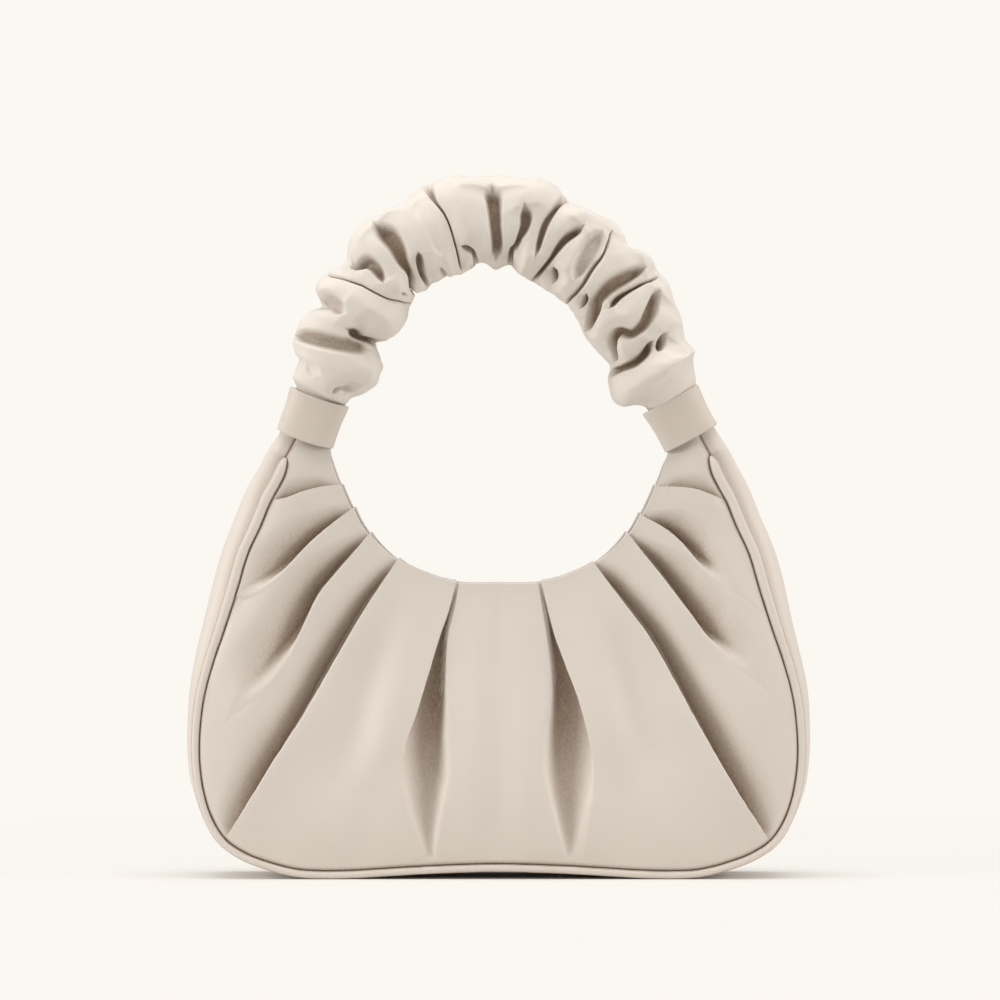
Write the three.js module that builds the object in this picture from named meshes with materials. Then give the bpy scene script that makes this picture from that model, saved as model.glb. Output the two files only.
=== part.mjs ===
// A small ruched hobo bag: a pleated crescent body with a side-and-base gusset and piped seams,
// and a gathered handle that two leather keepers join to the necks of the body.
// Millimetres. X runs along the bag, the front faces -Y and Z is up. The origin is on the floor,
// under the middle of the bag.
import * as THREE from 'three';

// Body sizes
const bagWidth = 260; // across the gusset at its widest
const bodyHeight = 184; // from the floor to the lower edges of the keepers
const baseDepth = 56; // between the front and the back seam, at the base
const mouthGap = 17; // between the two panels, at the middle of the mouth
const panelPuff = 7.6; // how far a panel swells out past the line from mouth to seam
const gussetBulge = 8.5; // how far the gusset swells out past its seams, near the shoulders
const leather = 1.6; // thickness of the panels and the gusset
const clearance = 0.3; // between neighbouring pieces

// Seam and pleat sizes
const pipingRadius = 1.7;
const pipingTip = 0.35; // radius at the ends of the piping
const pipingShare = 0.937; // how far along half the seam the piping runs
const pipingTaper = 0.044; // the share of it over which it tapers to its tip
const pleatDepth = 7; // the deepest fold
const pleatWidth = 13.5; // the widest fold

// Keeper sizes: the inside is an oval, wider across than deep
const keeperWidth = 21.8;
const keeperDepth = 13.8;
const keeperHeight = 19;
const keeperWall = 1.4;
const keeperFlare = 0.8; // how much wider each side is at the top
const keeperSquareness = 2.6; // 2 would be an ellipse

// Handle sizes
const handleRise = 81.6; // from the keepers' middle up to the top of the handle's centreline
const sleeveRadius = 19; // half the width of the gathered sleeve, seen from the front
const sleeveDepth = 16; // half its thickness from front to back
const creaseDepth = 7.4;
const creaseWidth = 5.2;
const coreWidth = 16;
const coreThickness = 9.2;

// Where each keeper sits: its middle as shares of half the bag's width and of the body's height,
// and how far it leans in, in degrees
const keeperPlaces = {
  left: { side: -1, across: 0.602, up: 1.045, lean: 19.4 },
  right: { side: 1, across: 0.589, up: 1.043, lean: 28.8 },
};

// Half of the mouth's edge, from the middle to the neck. across and up are shares of half the
// bag's width and of the body's height, and open is the share of the mouth's gap.
const mouthRows = [
  { across: 0.0, up: 0.665, open: 1.0 },
  { across: 0.138, up: 0.668, open: 0.99 },
  { across: 0.235, up: 0.687, open: 0.95 },
  { across: 0.329, up: 0.718, open: 0.88 },
  { across: 0.423, up: 0.777, open: 0.74 },
  { across: 0.477, up: 0.835, open: 0.6 },
  { across: 0.516, up: 0.892, open: 0.42 },
  { across: 0.541, up: 0.938, open: 0.22 },
];

// Half of the seam's centreline, from the middle of the base to the neck. depth is the share of
// the base's depth, bulge of the gusset's bulge and puff of the panel's puff.
const seamRows = [
  { across: 0.0, up: 0.0252, depth: 1.0, bulge: 0.14, puff: 1.0 },
  { across: 0.185, up: 0.0218, depth: 1.0, bulge: 0.14, puff: 1.0 },
  { across: 0.331, up: 0.0162, depth: 1.0, bulge: 0.14, puff: 1.0 },
  { across: 0.462, up: 0.0106, depth: 1.0, bulge: 0.14, puff: 0.99 },
  { across: 0.556, up: 0.0093, depth: 1.0, bulge: 0.14, puff: 0.97 },
  { across: 0.643, up: 0.0127, depth: 1.0, bulge: 0.14, puff: 0.95 },
  { across: 0.726, up: 0.0266, depth: 0.995, bulge: 0.13, puff: 0.92 },
  { across: 0.815, up: 0.05, depth: 0.99, bulge: 0.13, puff: 0.88 },
  { across: 0.886, up: 0.085, depth: 0.98, bulge: 0.16, puff: 0.84 },
  { across: 0.933, up: 0.139, depth: 0.96, bulge: 0.22, puff: 0.79 },
  { across: 0.96, up: 0.203, depth: 0.935, bulge: 0.31, puff: 0.74 },
  { across: 0.972, up: 0.275, depth: 0.905, bulge: 0.34, puff: 0.69 },
  { across: 0.97, up: 0.345, depth: 0.87, bulge: 0.4, puff: 0.64 },
  { across: 0.958, up: 0.415, depth: 0.825, bulge: 0.5, puff: 0.59 },
  { across: 0.933, up: 0.486, depth: 0.77, bulge: 0.63, puff: 0.54 },
  { across: 0.898, up: 0.563, depth: 0.7, bulge: 0.82, puff: 0.48 },
  { across: 0.859, up: 0.653, depth: 0.61, bulge: 0.95, puff: 0.42 },
  { across: 0.825, up: 0.737, depth: 0.51, bulge: 0.93, puff: 0.36 },
  { across: 0.785, up: 0.8, depth: 0.425, bulge: 1.0, puff: 0.31 },
  { across: 0.751, up: 0.859, depth: 0.345, bulge: 0.99, puff: 0.26 },
  { across: 0.712, up: 0.911, depth: 0.275, bulge: 0.97, puff: 0.22 },
  { across: 0.69, up: 0.949, depth: 0.232, bulge: 0.88, puff: 0.19 },
];

// The neck inside a keeper: shares of the rows above, at its lower edge and at its end
const neckRow = { depth: 0.17, bulge: 0.75, puff: 0.15, open: 0.02 };
const neckInset = 0.96; // the neck's inner edge, as a share of the room that the keeper leaves

// Pleats and ridges on half a panel, from the middle outwards. mouth and seam are shares of the
// half edges that each runs between. A fold has a folded edge that laps over a trough; faces is 1
// where the trough lies on its outer side and -1 where it lies on its inner side. deep, wide and
// bow are shares of the pleat's depth and width. atMouth and atSeam are what is left of a fold at
// its ends, peak is where it is deepest and fade where it runs out.
const pleatRows = [
  { kind: 'ridge', mouth: 0.0, seam: 0.0, rise: -0.13 },
  { kind: 'ridge', mouth: 0.08, seam: 0.046, rise: 0.12 },
  { kind: 'fold', mouth: 0.162, seam: 0.093, faces: -1, bow: 0.97, deep: 0.92, wide: 1.0,
    atMouth: 0.1, peak: 0.6, fade: 1.0, atSeam: 0.0 },
  { kind: 'ridge', mouth: 0.25, seam: 0.205, rise: -0.05, bow: 0.2 },
  { kind: 'ridge', mouth: 0.35, seam: 0.335, rise: 0.1 },
  { kind: 'fold', mouth: 0.402, seam: 0.386, faces: 1, bow: 0.0, deep: 1.0, wide: 0.85,
    atMouth: 0.22, peak: 0.42, fade: 1.0, atSeam: 0.3 },
  { kind: 'ridge', mouth: 0.5, seam: 0.472, rise: 0.14 },
  { kind: 'fold', mouth: 0.549, seam: 0.511, faces: 1, bow: 0.12, deep: 0.8, wide: 0.72,
    atMouth: 0.22, peak: 0.28, fade: 0.8, atSeam: 0.0 },
  { kind: 'ridge', mouth: 0.62, seam: 0.655, rise: 0.16 },
  { kind: 'fold', mouth: 0.665, seam: 0.72, faces: 1, bow: 0.08, deep: 0.66, wide: 0.56,
    atMouth: 0.24, peak: 0.34, fade: 0.95, atSeam: 0.0 },
  { kind: 'ridge', mouth: 0.73, seam: 0.805, rise: 0.1 },
  { kind: 'fold', mouth: 0.77, seam: 0.868, faces: 1, bow: 0.05, deep: 0.38, wide: 0.46,
    atMouth: 0.3, peak: 0.6, fade: 1.0, atSeam: 0.1 },
  { kind: 'ridge', mouth: 0.86, seam: pipingShare, rise: 0.0 },
  { kind: 'ridge', mouth: 0.88, seam: pipingShare + 0.01, rise: 0.0 },
  { kind: 'ridge', mouth: 0.915, seam: 0.967, rise: 0.0 },
  { kind: 'ridge', mouth: 1.0, seam: 1.0, rise: 0.0 },
];

// Across a fold, from its edge to its far shoulder: across is a share of its width, rise and sink
// are shares of the pleat's depth and of the fold's own, and back is how far the inner face stands
// aside, as a share of the leather
const foldProfile = [
  { across: 0.0, rise: 0.2, sink: 0.0, back: -0.8 },
  { across: 0.13, rise: 0.0, sink: 1.0, back: -0.7 },
  { across: 0.5, rise: 0.0, sink: 0.84, back: 0.4 },
  { across: 1.0, rise: 0.04, sink: 0.0, back: 0.3 },
];
const foldPinch = 0.15; // what is left of a fold's width where it closes
const ridgeForm = { atMouth: 0.25, peak: 0.5, fade: 1.0, atSeam: 0.0 };

// The handle's centreline between the keepers. across is a share of half the keepers' distance,
// up a share of the handle's rise.
const archRows = [
  { across: -0.888, up: 0.228 },
  { across: -0.845, up: 0.35 },
  { across: -0.784, up: 0.485 },
  { across: -0.7, up: 0.626 },
  { across: -0.571, up: 0.779 },
  { across: -0.377, up: 0.914 },
  { across: -0.171, up: 0.985 },
  { across: 0.01, up: 1.0 },
  { across: 0.191, up: 0.975 },
  { across: 0.372, up: 0.89 },
  { across: 0.54, up: 0.752 },
  { across: 0.663, up: 0.602 },
  { across: 0.747, up: 0.467 },
  { across: 0.802, up: 0.338 },
  { across: 0.844, up: 0.222 },
];

// The sleeve's outline along the handle: at is the share of its length from the left end, outer,
// inner and depth are shares of the sleeve's radius and depth
const sleeveRows = [
  { at: 0.046, outer: 0.66, inner: 0.54, depth: 0.5 },
  { at: 0.072, outer: 0.76, inner: 0.66, depth: 0.76 },
  { at: 0.097, outer: 0.87, inner: 0.89, depth: 0.91 },
  { at: 0.13, outer: 1.02, inner: 0.96, depth: 0.97 },
  { at: 0.178, outer: 0.92, inner: 0.95, depth: 0.97 },
  { at: 0.22, outer: 1.03, inner: 0.99, depth: 1.0 },
  { at: 0.286, outer: 1.0, inner: 0.9, depth: 0.97 },
  { at: 0.348, outer: 1.0, inner: 0.9, depth: 1.0 },
  { at: 0.41, outer: 1.04, inner: 0.99, depth: 1.0 },
  { at: 0.47, outer: 0.95, inner: 0.97, depth: 0.97 },
  { at: 0.533, outer: 0.97, inner: 0.95, depth: 0.97 },
  { at: 0.578, outer: 1.04, inner: 1.05, depth: 1.0 },
  { at: 0.636, outer: 0.97, inner: 1.04, depth: 1.0 },
  { at: 0.698, outer: 1.02, inner: 1.0, depth: 1.0 },
  { at: 0.772, outer: 1.02, inner: 1.1, depth: 1.03 },
  { at: 0.83, outer: 0.98, inner: 1.03, depth: 1.0 },
  { at: 0.867, outer: 0.92, inner: 0.92, depth: 0.94 },
  { at: 0.904, outer: 0.97, inner: 0.98, depth: 0.94 },
  { at: 0.929, outer: 0.92, inner: 0.87, depth: 0.84 },
  { at: 0.95, outer: 0.74, inner: 0.58, depth: 0.56 },
];

// Creases of the gathered sleeve, one row each. from and to are angles round the sleeve in
// degrees: 0 faces front, 90 out, 180 back and -90 in. start, middle and end are shares of the
// sleeve's length at from, half way and to. wide and deep are shares of the crease sizes.
const creaseRows = [
  { from: 105, to: -50, start: 0.131, middle: 0.133, end: 0.137, wide: 1.0, deep: 0.95 },
  { from: -3, to: -110, start: 0.162, middle: 0.166, end: 0.164, wide: 0.42, deep: 0.85 },
  { from: 130, to: 12, start: 0.178, middle: 0.182, end: 0.2, wide: 0.75, deep: 0.5 },
  { from: 100, to: -62, start: 0.23, middle: 0.24, end: 0.262, wide: 0.4, deep: 0.75 },
  { from: 45, to: -3, start: 0.262, middle: 0.279, end: 0.275, wide: 0.55, deep: 0.6 },
  { from: 100, to: -70, start: 0.314, middle: 0.324, end: 0.294, wide: 0.8, deep: 0.95 },
  { from: -15, to: -100, start: 0.344, middle: 0.339, end: 0.329, wide: 0.5, deep: 0.7 },
  { from: 130, to: -85, start: 0.407, middle: 0.417, end: 0.417, wide: 0.4, deep: 0.75 },
  { from: -28, to: -100, start: 0.432, middle: 0.442, end: 0.448, wide: 0.45, deep: 0.6 },
  { from: 72, to: -105, start: 0.485, middle: 0.494, end: 0.498, wide: 0.85, deep: 0.9 },
  { from: 20, to: -115, start: 0.541, middle: 0.544, end: 0.535, wide: 0.55, deep: 0.8 },
  { from: 100, to: -30, start: 0.594, middle: 0.58, end: 0.586, wide: 0.5, deep: 0.7 },
  { from: 38, to: -88, start: 0.642, middle: 0.619, end: 0.623, wide: 0.55, deep: 0.75 },
  { from: 72, to: -92, start: 0.668, middle: 0.689, end: 0.701, wide: 0.9, deep: 0.5 },
  { from: 78, to: -80, start: 0.744, middle: 0.727, end: 0.765, wide: 0.7, deep: 0.75 },
  { from: 55, to: -15, start: 0.759, middle: 0.756, end: 0.762, wide: 0.4, deep: 0.65 },
  { from: 80, to: -22, start: 0.79, middle: 0.816, end: 0.823, wide: 0.8, deep: 0.85 },
  { from: -20, to: -80, start: 0.81, middle: 0.814, end: 0.845, wide: 0.7, deep: 0.6 },
  { from: 115, to: 22, start: 0.838, middle: 0.851, end: 0.866, wide: 0.5, deep: 0.6 },
  { from: 15, to: -115, start: 0.851, middle: 0.866, end: 0.868, wide: 0.55, deep: 0.85 },
  { from: 255, to: 110, start: 0.1, middle: 0.115, end: 0.12, wide: 0.7, deep: 0.6 },
  { from: 260, to: 140, start: 0.19, middle: 0.2, end: 0.19, wide: 0.6, deep: 0.75 },
  { from: 230, to: 95, start: 0.215, middle: 0.225, end: 0.25, wide: 0.5, deep: 0.6 },
  { from: 265, to: 130, start: 0.3, middle: 0.285, end: 0.275, wide: 0.8, deep: 0.85 },
  { from: 240, to: 100, start: 0.365, middle: 0.35, end: 0.33, wide: 0.6, deep: 0.7 },
  { from: 265, to: 140, start: 0.395, middle: 0.405, end: 0.4, wide: 0.5, deep: 0.8 },
  { from: 250, to: 95, start: 0.46, middle: 0.45, end: 0.465, wide: 0.8, deep: 0.75 },
  { from: 225, to: 110, start: 0.51, middle: 0.525, end: 0.53, wide: 0.6, deep: 0.8 },
  { from: 265, to: 130, start: 0.57, middle: 0.575, end: 0.565, wide: 0.5, deep: 0.7 },
  { from: 255, to: 100, start: 0.625, middle: 0.64, end: 0.63, wide: 0.8, deep: 0.85 },
  { from: 230, to: 95, start: 0.68, middle: 0.69, end: 0.71, wide: 0.5, deep: 0.7 },
  { from: 265, to: 120, start: 0.73, middle: 0.745, end: 0.74, wide: 0.7, deep: 0.8 },
  { from: 250, to: 110, start: 0.8, middle: 0.79, end: 0.785, wide: 0.6, deep: 0.75 },
  { from: 240, to: 130, start: 0.855, middle: 0.84, end: 0.83, wide: 0.6, deep: 0.7 },
  { from: 265, to: 110, start: 0.905, middle: 0.9, end: 0.89, wide: 0.8, deep: 0.5 },
];
const creaseRunOut = 16; // degrees over which a crease fades at its ends

// How finely each piece is cut into facets
const facets = {
  seamStep: 18, // longest step along the seam
  seamTurn: 14, // most degrees that the seam turns in a step
  seamStops: 4, // shortest step along the gusset and the piping
  pipingSides: 6,
  keeperSides: 20,
  sleeveSides: 16,
  sleeveRings: 78,
  coreRings: 20, // of the core and of the sleeve's bore round it
  coreSides: 8,
};
const panelLines = [0, 0.08, 0.22, 0.4, 0.58, 0.76, 0.91, 1]; // shares from mouth to seam
const gussetLines = [-1, -0.8, -0.35, 0.35, 0.8, 1]; // shares from front to back

// Small mathematics
const lerp = (a, b, t) => a + (b - a) * t;
const clamp01 = (t) => Math.min(1, Math.max(0, t));
const smooth = (t) => clamp01(t) ** 2 * (3 - 2 * clamp01(t));
const radians = THREE.MathUtils.degToRad;

// A curve through equally spaced values, as a number
function through(valueAt, t) {
  const i = Math.floor(t);
  const f = t - i;
  const [a, b, c, d] = [valueAt(i - 1), valueAt(i), valueAt(i + 1), valueAt(i + 2)];
  return b + 0.5 * f * (c - a + f * (2 * a - 5 * b + 4 * c - d + f * (3 * (b - c) + d - a)));
}

// A closed solid from a grid of points: grid[i] is a closed loop, and the loops follow each other.
// Either the last loop joins the first, or the loops run down one face of a wall and back up the
// other and strips across them close the ends. A quad is split along its shorter diagonal, and
// the quad behind it in the wall the same way.
function solidFromLoops(grid, joined = false) {
  const sides = grid[0].length;
  const index = [];
  const quad = (a, b, c, d) => index.push(a, b, c, a, c, d);
  const last = joined ? grid.length : grid.length - 1;
  for (let i = 0; i < last; i++) {
    const next = (i + 1) % grid.length;
    for (let j = 0; j < sides; j++) {
      const first = joined ? j : Math.min(j, (2 * sides - 2 - j) % sides);
      const past = (first + 1) % sides;
      const rising = grid[i][first].distanceTo(grid[next][past]);
      const falling = grid[i][past].distanceTo(grid[next][first]);
      const corners = [[i, j], [i, j + 1], [next, j + 1], [next, j]]
        .map(([row, column]) => row * sides + (column % sides));
      if ((rising <= falling) !== (j === first)) corners.push(corners.shift());
      quad(...corners);
    }
  }
  if (!joined) {
    const end = (grid.length - 1) * sides;
    for (let j = 0; j < sides / 2 - 1; j++) {
      quad(j, sides - 1 - j, sides - 2 - j, j + 1);
      quad(end + j, end + j + 1, end + sides - 2 - j, end + sides - 1 - j);
    }
  }
  const points = grid.flat();
  let volume = 0;
  for (let i = 0; i < index.length; i += 3) {
    const [a, b, c] = [points[index[i]], points[index[i + 1]], points[index[i + 2]]];
    volume += a.dot(new THREE.Vector3().crossVectors(b, c));
  }
  if (volume < 0) index.reverse();
  const geometry = new THREE.BufferGeometry().setFromPoints(points);
  geometry.setIndex(index);
  geometry.computeVertexNormals();
  return geometry;
}

// The keepers
const halfWidth = bagWidth / 2;
const keepers = Object.values(keeperPlaces).map(({ side, across, up, lean }) => ({
  side,
  middle: new THREE.Vector3(side * across * halfWidth, 0, up * bodyHeight),
  axis: new THREE.Vector3(-side * Math.sin(radians(lean)), 0, Math.cos(radians(lean))),
  out: new THREE.Vector3(side * Math.cos(radians(lean)), 0, Math.sin(radians(lean))),
}));
const [leftKeeper, rightKeeper] = keepers;
const keeperOf = (side) => (side < 0 ? leftKeeper : rightKeeper);

// A point in a keeper's own frame: out across it, along its axis from its middle, and back
function inKeeper({ middle, axis, out }, across, along, back = 0) {
  return middle.clone().addScaledVector(out, across).addScaledVector(axis, along)
    .add(new THREE.Vector3(0, back, 0));
}

// An oval with semi-axes a and b at an angle
function oval(a, b, angle, squareness) {
  const [c, s] = [Math.cos(angle), Math.sin(angle)];
  const power = 2 / squareness;
  return [a * Math.sign(c) * Math.abs(c) ** power, b * Math.sign(s) * Math.abs(s) ** power];
}

function keeperSolid(keeper) {
  const half = keeperHeight / 2;
  const bevel = keeperWall * 0.35;
  // Offset from the inside wall, and height, round the band's cross-section
  const profile = [
    [0, -half], [keeperWall - bevel, -half], [keeperWall, -half + bevel],
    [keeperWall, half - bevel], [keeperWall - bevel, half], [0, half],
  ];
  const grid = [];
  for (let i = 0; i < facets.keeperSides; i++) {
    const angle = (2 * Math.PI * i) / facets.keeperSides;
    grid.push(profile.map(([offset, along]) => {
      const flare = keeperFlare * clamp01(along / keeperHeight + 0.5);
      const a = keeperWidth / 2 + offset + flare;
      const b = keeperDepth / 2 + offset + flare / 2;
      const [across, back] = oval(a, b, angle, keeperSquareness);
      return inKeeper(keeper, across, along, back);
    }));
  }
  return solidFromLoops(grid, true);
}

// The seam and mouth edges of the front, from neck to neck. The neck rows follow the keeper.
const neckStations = [-keeperHeight / 2, -clearance / 2]; // along the keeper's axis
const neckHalf = keeperWidth / 2 - clearance;

function frontEdge(rows, ofRow, ofNeck) {
  const half = (side) => [
    ...rows.slice(1).map((row) => ofRow(row, side)),
    ...neckStations.map((along) => ofNeck(keeperOf(side), along)),
  ];
  const points = [...half(-1).reverse(), ofRow(rows[0], 1), ...half(1)];
  const curve = new THREE.CatmullRomCurve3(points, false, 'centripetal');
  curve.arcLengthDivisions = 1200;
  return curve;
}

const mouthDepth = (open) => (mouthGap / 2) * open + leather;
const mouthEdge = frontEdge(
  mouthRows,
  ({ across, up, open }, side) =>
    new THREE.Vector3(side * across * halfWidth, -mouthDepth(open), up * bodyHeight),
  (keeper, along) => inKeeper(keeper, -neckHalf * neckInset, along, -mouthDepth(neckRow.open)),
);
const seamEdge = frontEdge(
  seamRows,
  ({ across, up, depth }, side) =>
    new THREE.Vector3(side * across * halfWidth, -depth * baseDepth / 2, up * bodyHeight),
  (keeper, along) => inKeeper(
    keeper, neckHalf - leather / 2 - neckRow.bulge * gussetBulge, along,
    -neckRow.depth * baseDepth / 2,
  ),
);
// The seam's bulge and puff, row by row
const seamForm = frontEdge(
  seamRows,
  ({ bulge, puff }, side) => new THREE.Vector3(bulge, puff, side),
  ({ side }) => new THREE.Vector3(neckRow.bulge, neckRow.puff, side),
);

// The place on an edge at a share of its half, counted from the middle
function placeOn(edge, side, share) {
  const lengths = edge.getLengths();
  const total = lengths[lengths.length - 1];
  const middle = lengths[(lengths.length - 1) / 2];
  const along = side < 0 ? middle * (1 - share) : middle + (total - middle) * share;
  return edge.getUtoTmapping(clamp01(along / total));
}

// A station of the seam on one side, at a share of its half: its point, outward normal, bulge,
// puff and the piping's radius there
function seamStation(side, share) {
  const t = placeOn(seamEdge, side, share);
  const tangent = seamEdge.getTangent(t);
  const form = seamForm.getPoint(t);
  const swell = (past) => Math.sqrt(1 - (1 - clamp01(past / pipingTaper)) ** 2);
  return {
    point: seamEdge.getPoint(t),
    normal: new THREE.Vector3(tangent.z, 0, -tangent.x).normalize(),
    bulge: form.x * gussetBulge,
    puff: form.y * panelPuff,
    radius: Math.max(pipingTip, pipingRadius * swell(pipingShare - share)),
    fullness: 1 - (1 - swell(pipingShare + pipingLead - share)) ** 2,
  };
}

// Where the leather stops beside the seam's centreline, on its outer and on its inner face: in a
// mitre where there is no piping, and clear of the piping where there is
const pipingLead = 0.002; // the room for the piping opens this share before its tip
const mitre = { outer: leather / 2 - 0.7 * clearance, inner: -leather / 2 - 0.7 * clearance };
const besidePiping = -(pipingRadius + clearance);
const edgeOffset = (face, fullness) => lerp(mitre[face], besidePiping, fullness);

// What is left of a fold at a share of the way from mouth to seam
function foldForm({ atMouth, peak, fade, atSeam }, v) {
  const rest = lerp(atMouth, atSeam, v);
  const power = Math.log(0.5) / Math.log(peak / fade);
  const swell = v < fade ? Math.sin(Math.PI * (v / fade) ** power) : 0;
  return (rest + (1 - rest) * swell) * (1 - v ** 10);
}

// The lines that half a panel is drawn through. Each has its place on the two edges, its shift
// across, its bow and its rise. A fold's lines stand close together where it closes.
const mouthHalf = mouthEdge.getLength() / 2;
const seamHalf = seamEdge.getLength() / 2;
const panelSections = pleatRows.flatMap((row) => {
  const width = (row.wide ?? 0) * (row.faces ?? 1) * pleatWidth;
  const line = (shift, rise, back, form) => ({
    mouth: row.mouth + (shift * foldPinch * width) / mouthHalf,
    seam: row.seam + (shift * foldPinch * width) / seamHalf,
    bow: (row.bow ?? 0) * pleatWidth,
    shift: shift * (1 - foldPinch) * width,
    rise: rise * pleatDepth,
    back: back * leather * (row.faces ?? 1),
    form,
  });
  if (row.kind === 'ridge') return [line(0, row.rise, 0, ridgeForm)];
  const lines = foldProfile.map(({ across, rise, sink, back }) =>
    line(across, rise - sink * row.deep, back, row));
  return row.faces > 0 ? lines : lines.reverse();
});

// How far a line stands to the side and proud at v, on the outer or the inner face; lines before
// the middle are mirror images
function lineAt(i, v, inner) {
  const section = panelSections[Math.min(Math.abs(i), panelSections.length - 1)];
  const swell = foldForm({ ...section.form, atMouth: 0, atSeam: 0 }, v);
  const aside = section.shift + (inner ? section.back : 0);
  const across = (section.bow + aside) * swell;
  return { across: i < 0 ? -across : across, rise: section.rise * foldForm(section.form, v) };
}

// The shares of the two edges that a place between two lines stands for
function sharesAt(at) {
  const i = Math.min(Math.floor(at), panelSections.length - 2);
  const [here, next] = [panelSections[i], panelSections[i + 1]];
  return {
    mouth: lerp(here.mouth, next.mouth, at - i),
    seam: lerp(here.seam, next.seam, at - i),
  };
}

// A point of the front panel's outer or inner face on a line from 0 at the mouth to 1 at the seam;
// the last line before the seam leaves room for its rim
function panelPoint({ side, at }, line, inner = false) {
  const { mouth, seam } = sharesAt(at);
  const start = mouthEdge.getPoint(placeOn(mouthEdge, side, mouth));
  const station = seamStation(side, seam);
  const rim = station.point.clone()
    .addScaledVector(station.normal, edgeOffset('outer', station.fullness))
    .add(new THREE.Vector3(0, -leather / 2, 0));
  const ray = rim.clone().sub(start);
  const v = line < 1 ? Math.min(line, 1 - (1.6 * leather) / ray.length()) : 1;
  const across = new THREE.Vector3(-ray.z, 0, ray.x).normalize();
  const shift = through((k) => lineAt(k, v, inner).across, at) * side;
  const rise = through((k) => lineAt(k, v, inner).rise, at);
  const puff = station.puff * Math.sin(Math.PI * v ** 1.8) ** 0.8;
  return start.addScaledVector(ray, v).addScaledVector(across, shift)
    .add(new THREE.Vector3(0, -puff - rise + (inner ? leather : 0), 0));
}

// The inner face of a grid: each point moved in along the surface's own normal
function innerFace(outer, thickness) {
  const rows = outer.length - 1;
  const lines = outer[0].length - 1;
  const spans = (a, b) => new THREE.Vector3().subVectors(b, a);
  return outer.map((loop, i) => loop.map((point, j) => {
    const along = [outer[Math.max(0, i - 1)][j], outer[Math.min(rows, i + 1)][j]];
    const down = [loop[Math.max(0, j - 1)], loop[Math.min(lines, j + 1)]];
    const normal = spans(...down).cross(spans(...along)).normalize();
    return point.clone().addScaledVector(normal, -thickness);
  }));
}

// Stations from the middle of a half panel to its neck: every line, and steps between them where
// the seam is long or turns
function halfStations() {
  const stations = [];
  const last = panelSections.length - 1;
  for (let i = 0; i < last; i++) {
    const [from, to] = [panelSections[i].seam, panelSections[i + 1].seam];
    const turn = seamStation(1, from).normal.angleTo(seamStation(1, to).normal);
    const steps = Math.max(1, Math.ceil(((to - from) * seamHalf) / facets.seamStep),
      Math.ceil(THREE.MathUtils.radToDeg(turn) / facets.seamTurn));
    for (let k = 0; k < steps; k++) stations.push(i + k / steps);
  }
  return [...stations, last];
}
const bothSides = (half, make) => [
  ...half.slice(1).reverse().map((item) => make(-1, item)),
  ...half.map((item) => make(1, item)),
];

function frontPanelLoops() {
  const stations = bothSides(halfStations(), (side, at) => ({ side, at }));
  return stations.map((station) => {
    const { point, normal, fullness } = seamStation(station.side, sharesAt(station.at).seam);
    const outer = panelLines.map((v) => panelPoint(station, v));
    const inner = panelLines.slice(0, -1).map((v) => panelPoint(station, v, true));
    const rim = point.clone().addScaledVector(normal, edgeOffset('inner', fullness))
      .add(new THREE.Vector3(0, leather / 2, 0));
    return [...outer, rim, ...inner.reverse()];
  });
}

const mirrored = (loops) => loops.map((loop) => loop.map((p) => p.clone().setY(-p.y)));

// The panel's stations along the seam, less the ones that stand close together
const seamStops = halfStations().map((at) => sharesAt(at).seam).reduce((kept, share) => {
  const far = (share - kept[kept.length - 1]) * seamHalf > facets.seamStops;
  return far || share === 1 || share === pipingShare ? [...kept, share] : kept;
}, [0]);

// The gusset's section swells between the two seams, and its base lies flat on the floor
function gussetSolid() {
  const stations = bothSides(seamStops, (side, share) => seamStation(side, share));
  const atRim = ({ point, normal, fullness }, face, line, offset) =>
    new THREE.Vector3(point.x, line * (edgeOffset(face, fullness) - point.y), point.z)
      .addScaledVector(normal, offset);
  const outer = stations.map((station) => gussetLines.map((line) => {
    const swell = station.bulge * (1 - Math.abs(line) ** 2.4) ** 0.6;
    const place = atRim(station, 'outer', line, leather / 2 + swell);
    return place.setZ(Math.max(0, place.z));
  }));
  const inner = innerFace(outer, leather);
  return solidFromLoops(stations.map((station, i) => {
    const face = inner[i].slice(1, -1).reverse();
    const [front, back] = [-1, 1].map((line) => atRim(station, 'inner', line, -leather / 2));
    return [...outer[i], back, ...face, front];
  }));
}

function pipingLoops() {
  const taper = [0.6, 0.3, 0.1, 0].map((rest) => pipingShare - rest * pipingTaper);
  const stops = [...seamStops.filter((share) => share < taper[0] - 0.01), ...taper];
  return bothSides(stops, (side, share) => {
    const { point, normal, radius } = seamStation(side, share);
    const loop = [];
    for (let j = 0; j < facets.pipingSides; j++) {
      const angle = (2 * Math.PI * (j + 0.5)) / facets.pipingSides;
      loop.push(point.clone().addScaledVector(normal, radius * Math.cos(angle))
        .add(new THREE.Vector3(0, radius * Math.sin(angle), 0)));
    }
    return loop;
  });
}

// The handle's centreline, from the middle of one keeper to the middle of the other
const handleMiddle = leftKeeper.middle.clone().lerp(rightKeeper.middle, 0.5);
const handleHalf = (rightKeeper.middle.x - leftKeeper.middle.x) / 2;
const handlePath = new THREE.CatmullRomCurve3([
  inKeeper(leftKeeper, 0, clearance / 2),
  inKeeper(leftKeeper, 0, keeperHeight / 2),
  ...archRows.map(({ across, up }) => new THREE.Vector3(
    handleMiddle.x + across * handleHalf, 0, handleMiddle.z + up * handleRise)),
  inKeeper(rightKeeper, 0, keeperHeight / 2),
  inKeeper(rightKeeper, 0, clearance / 2),
], false, 'centripetal');
handlePath.arcLengthDivisions = 800;

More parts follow.
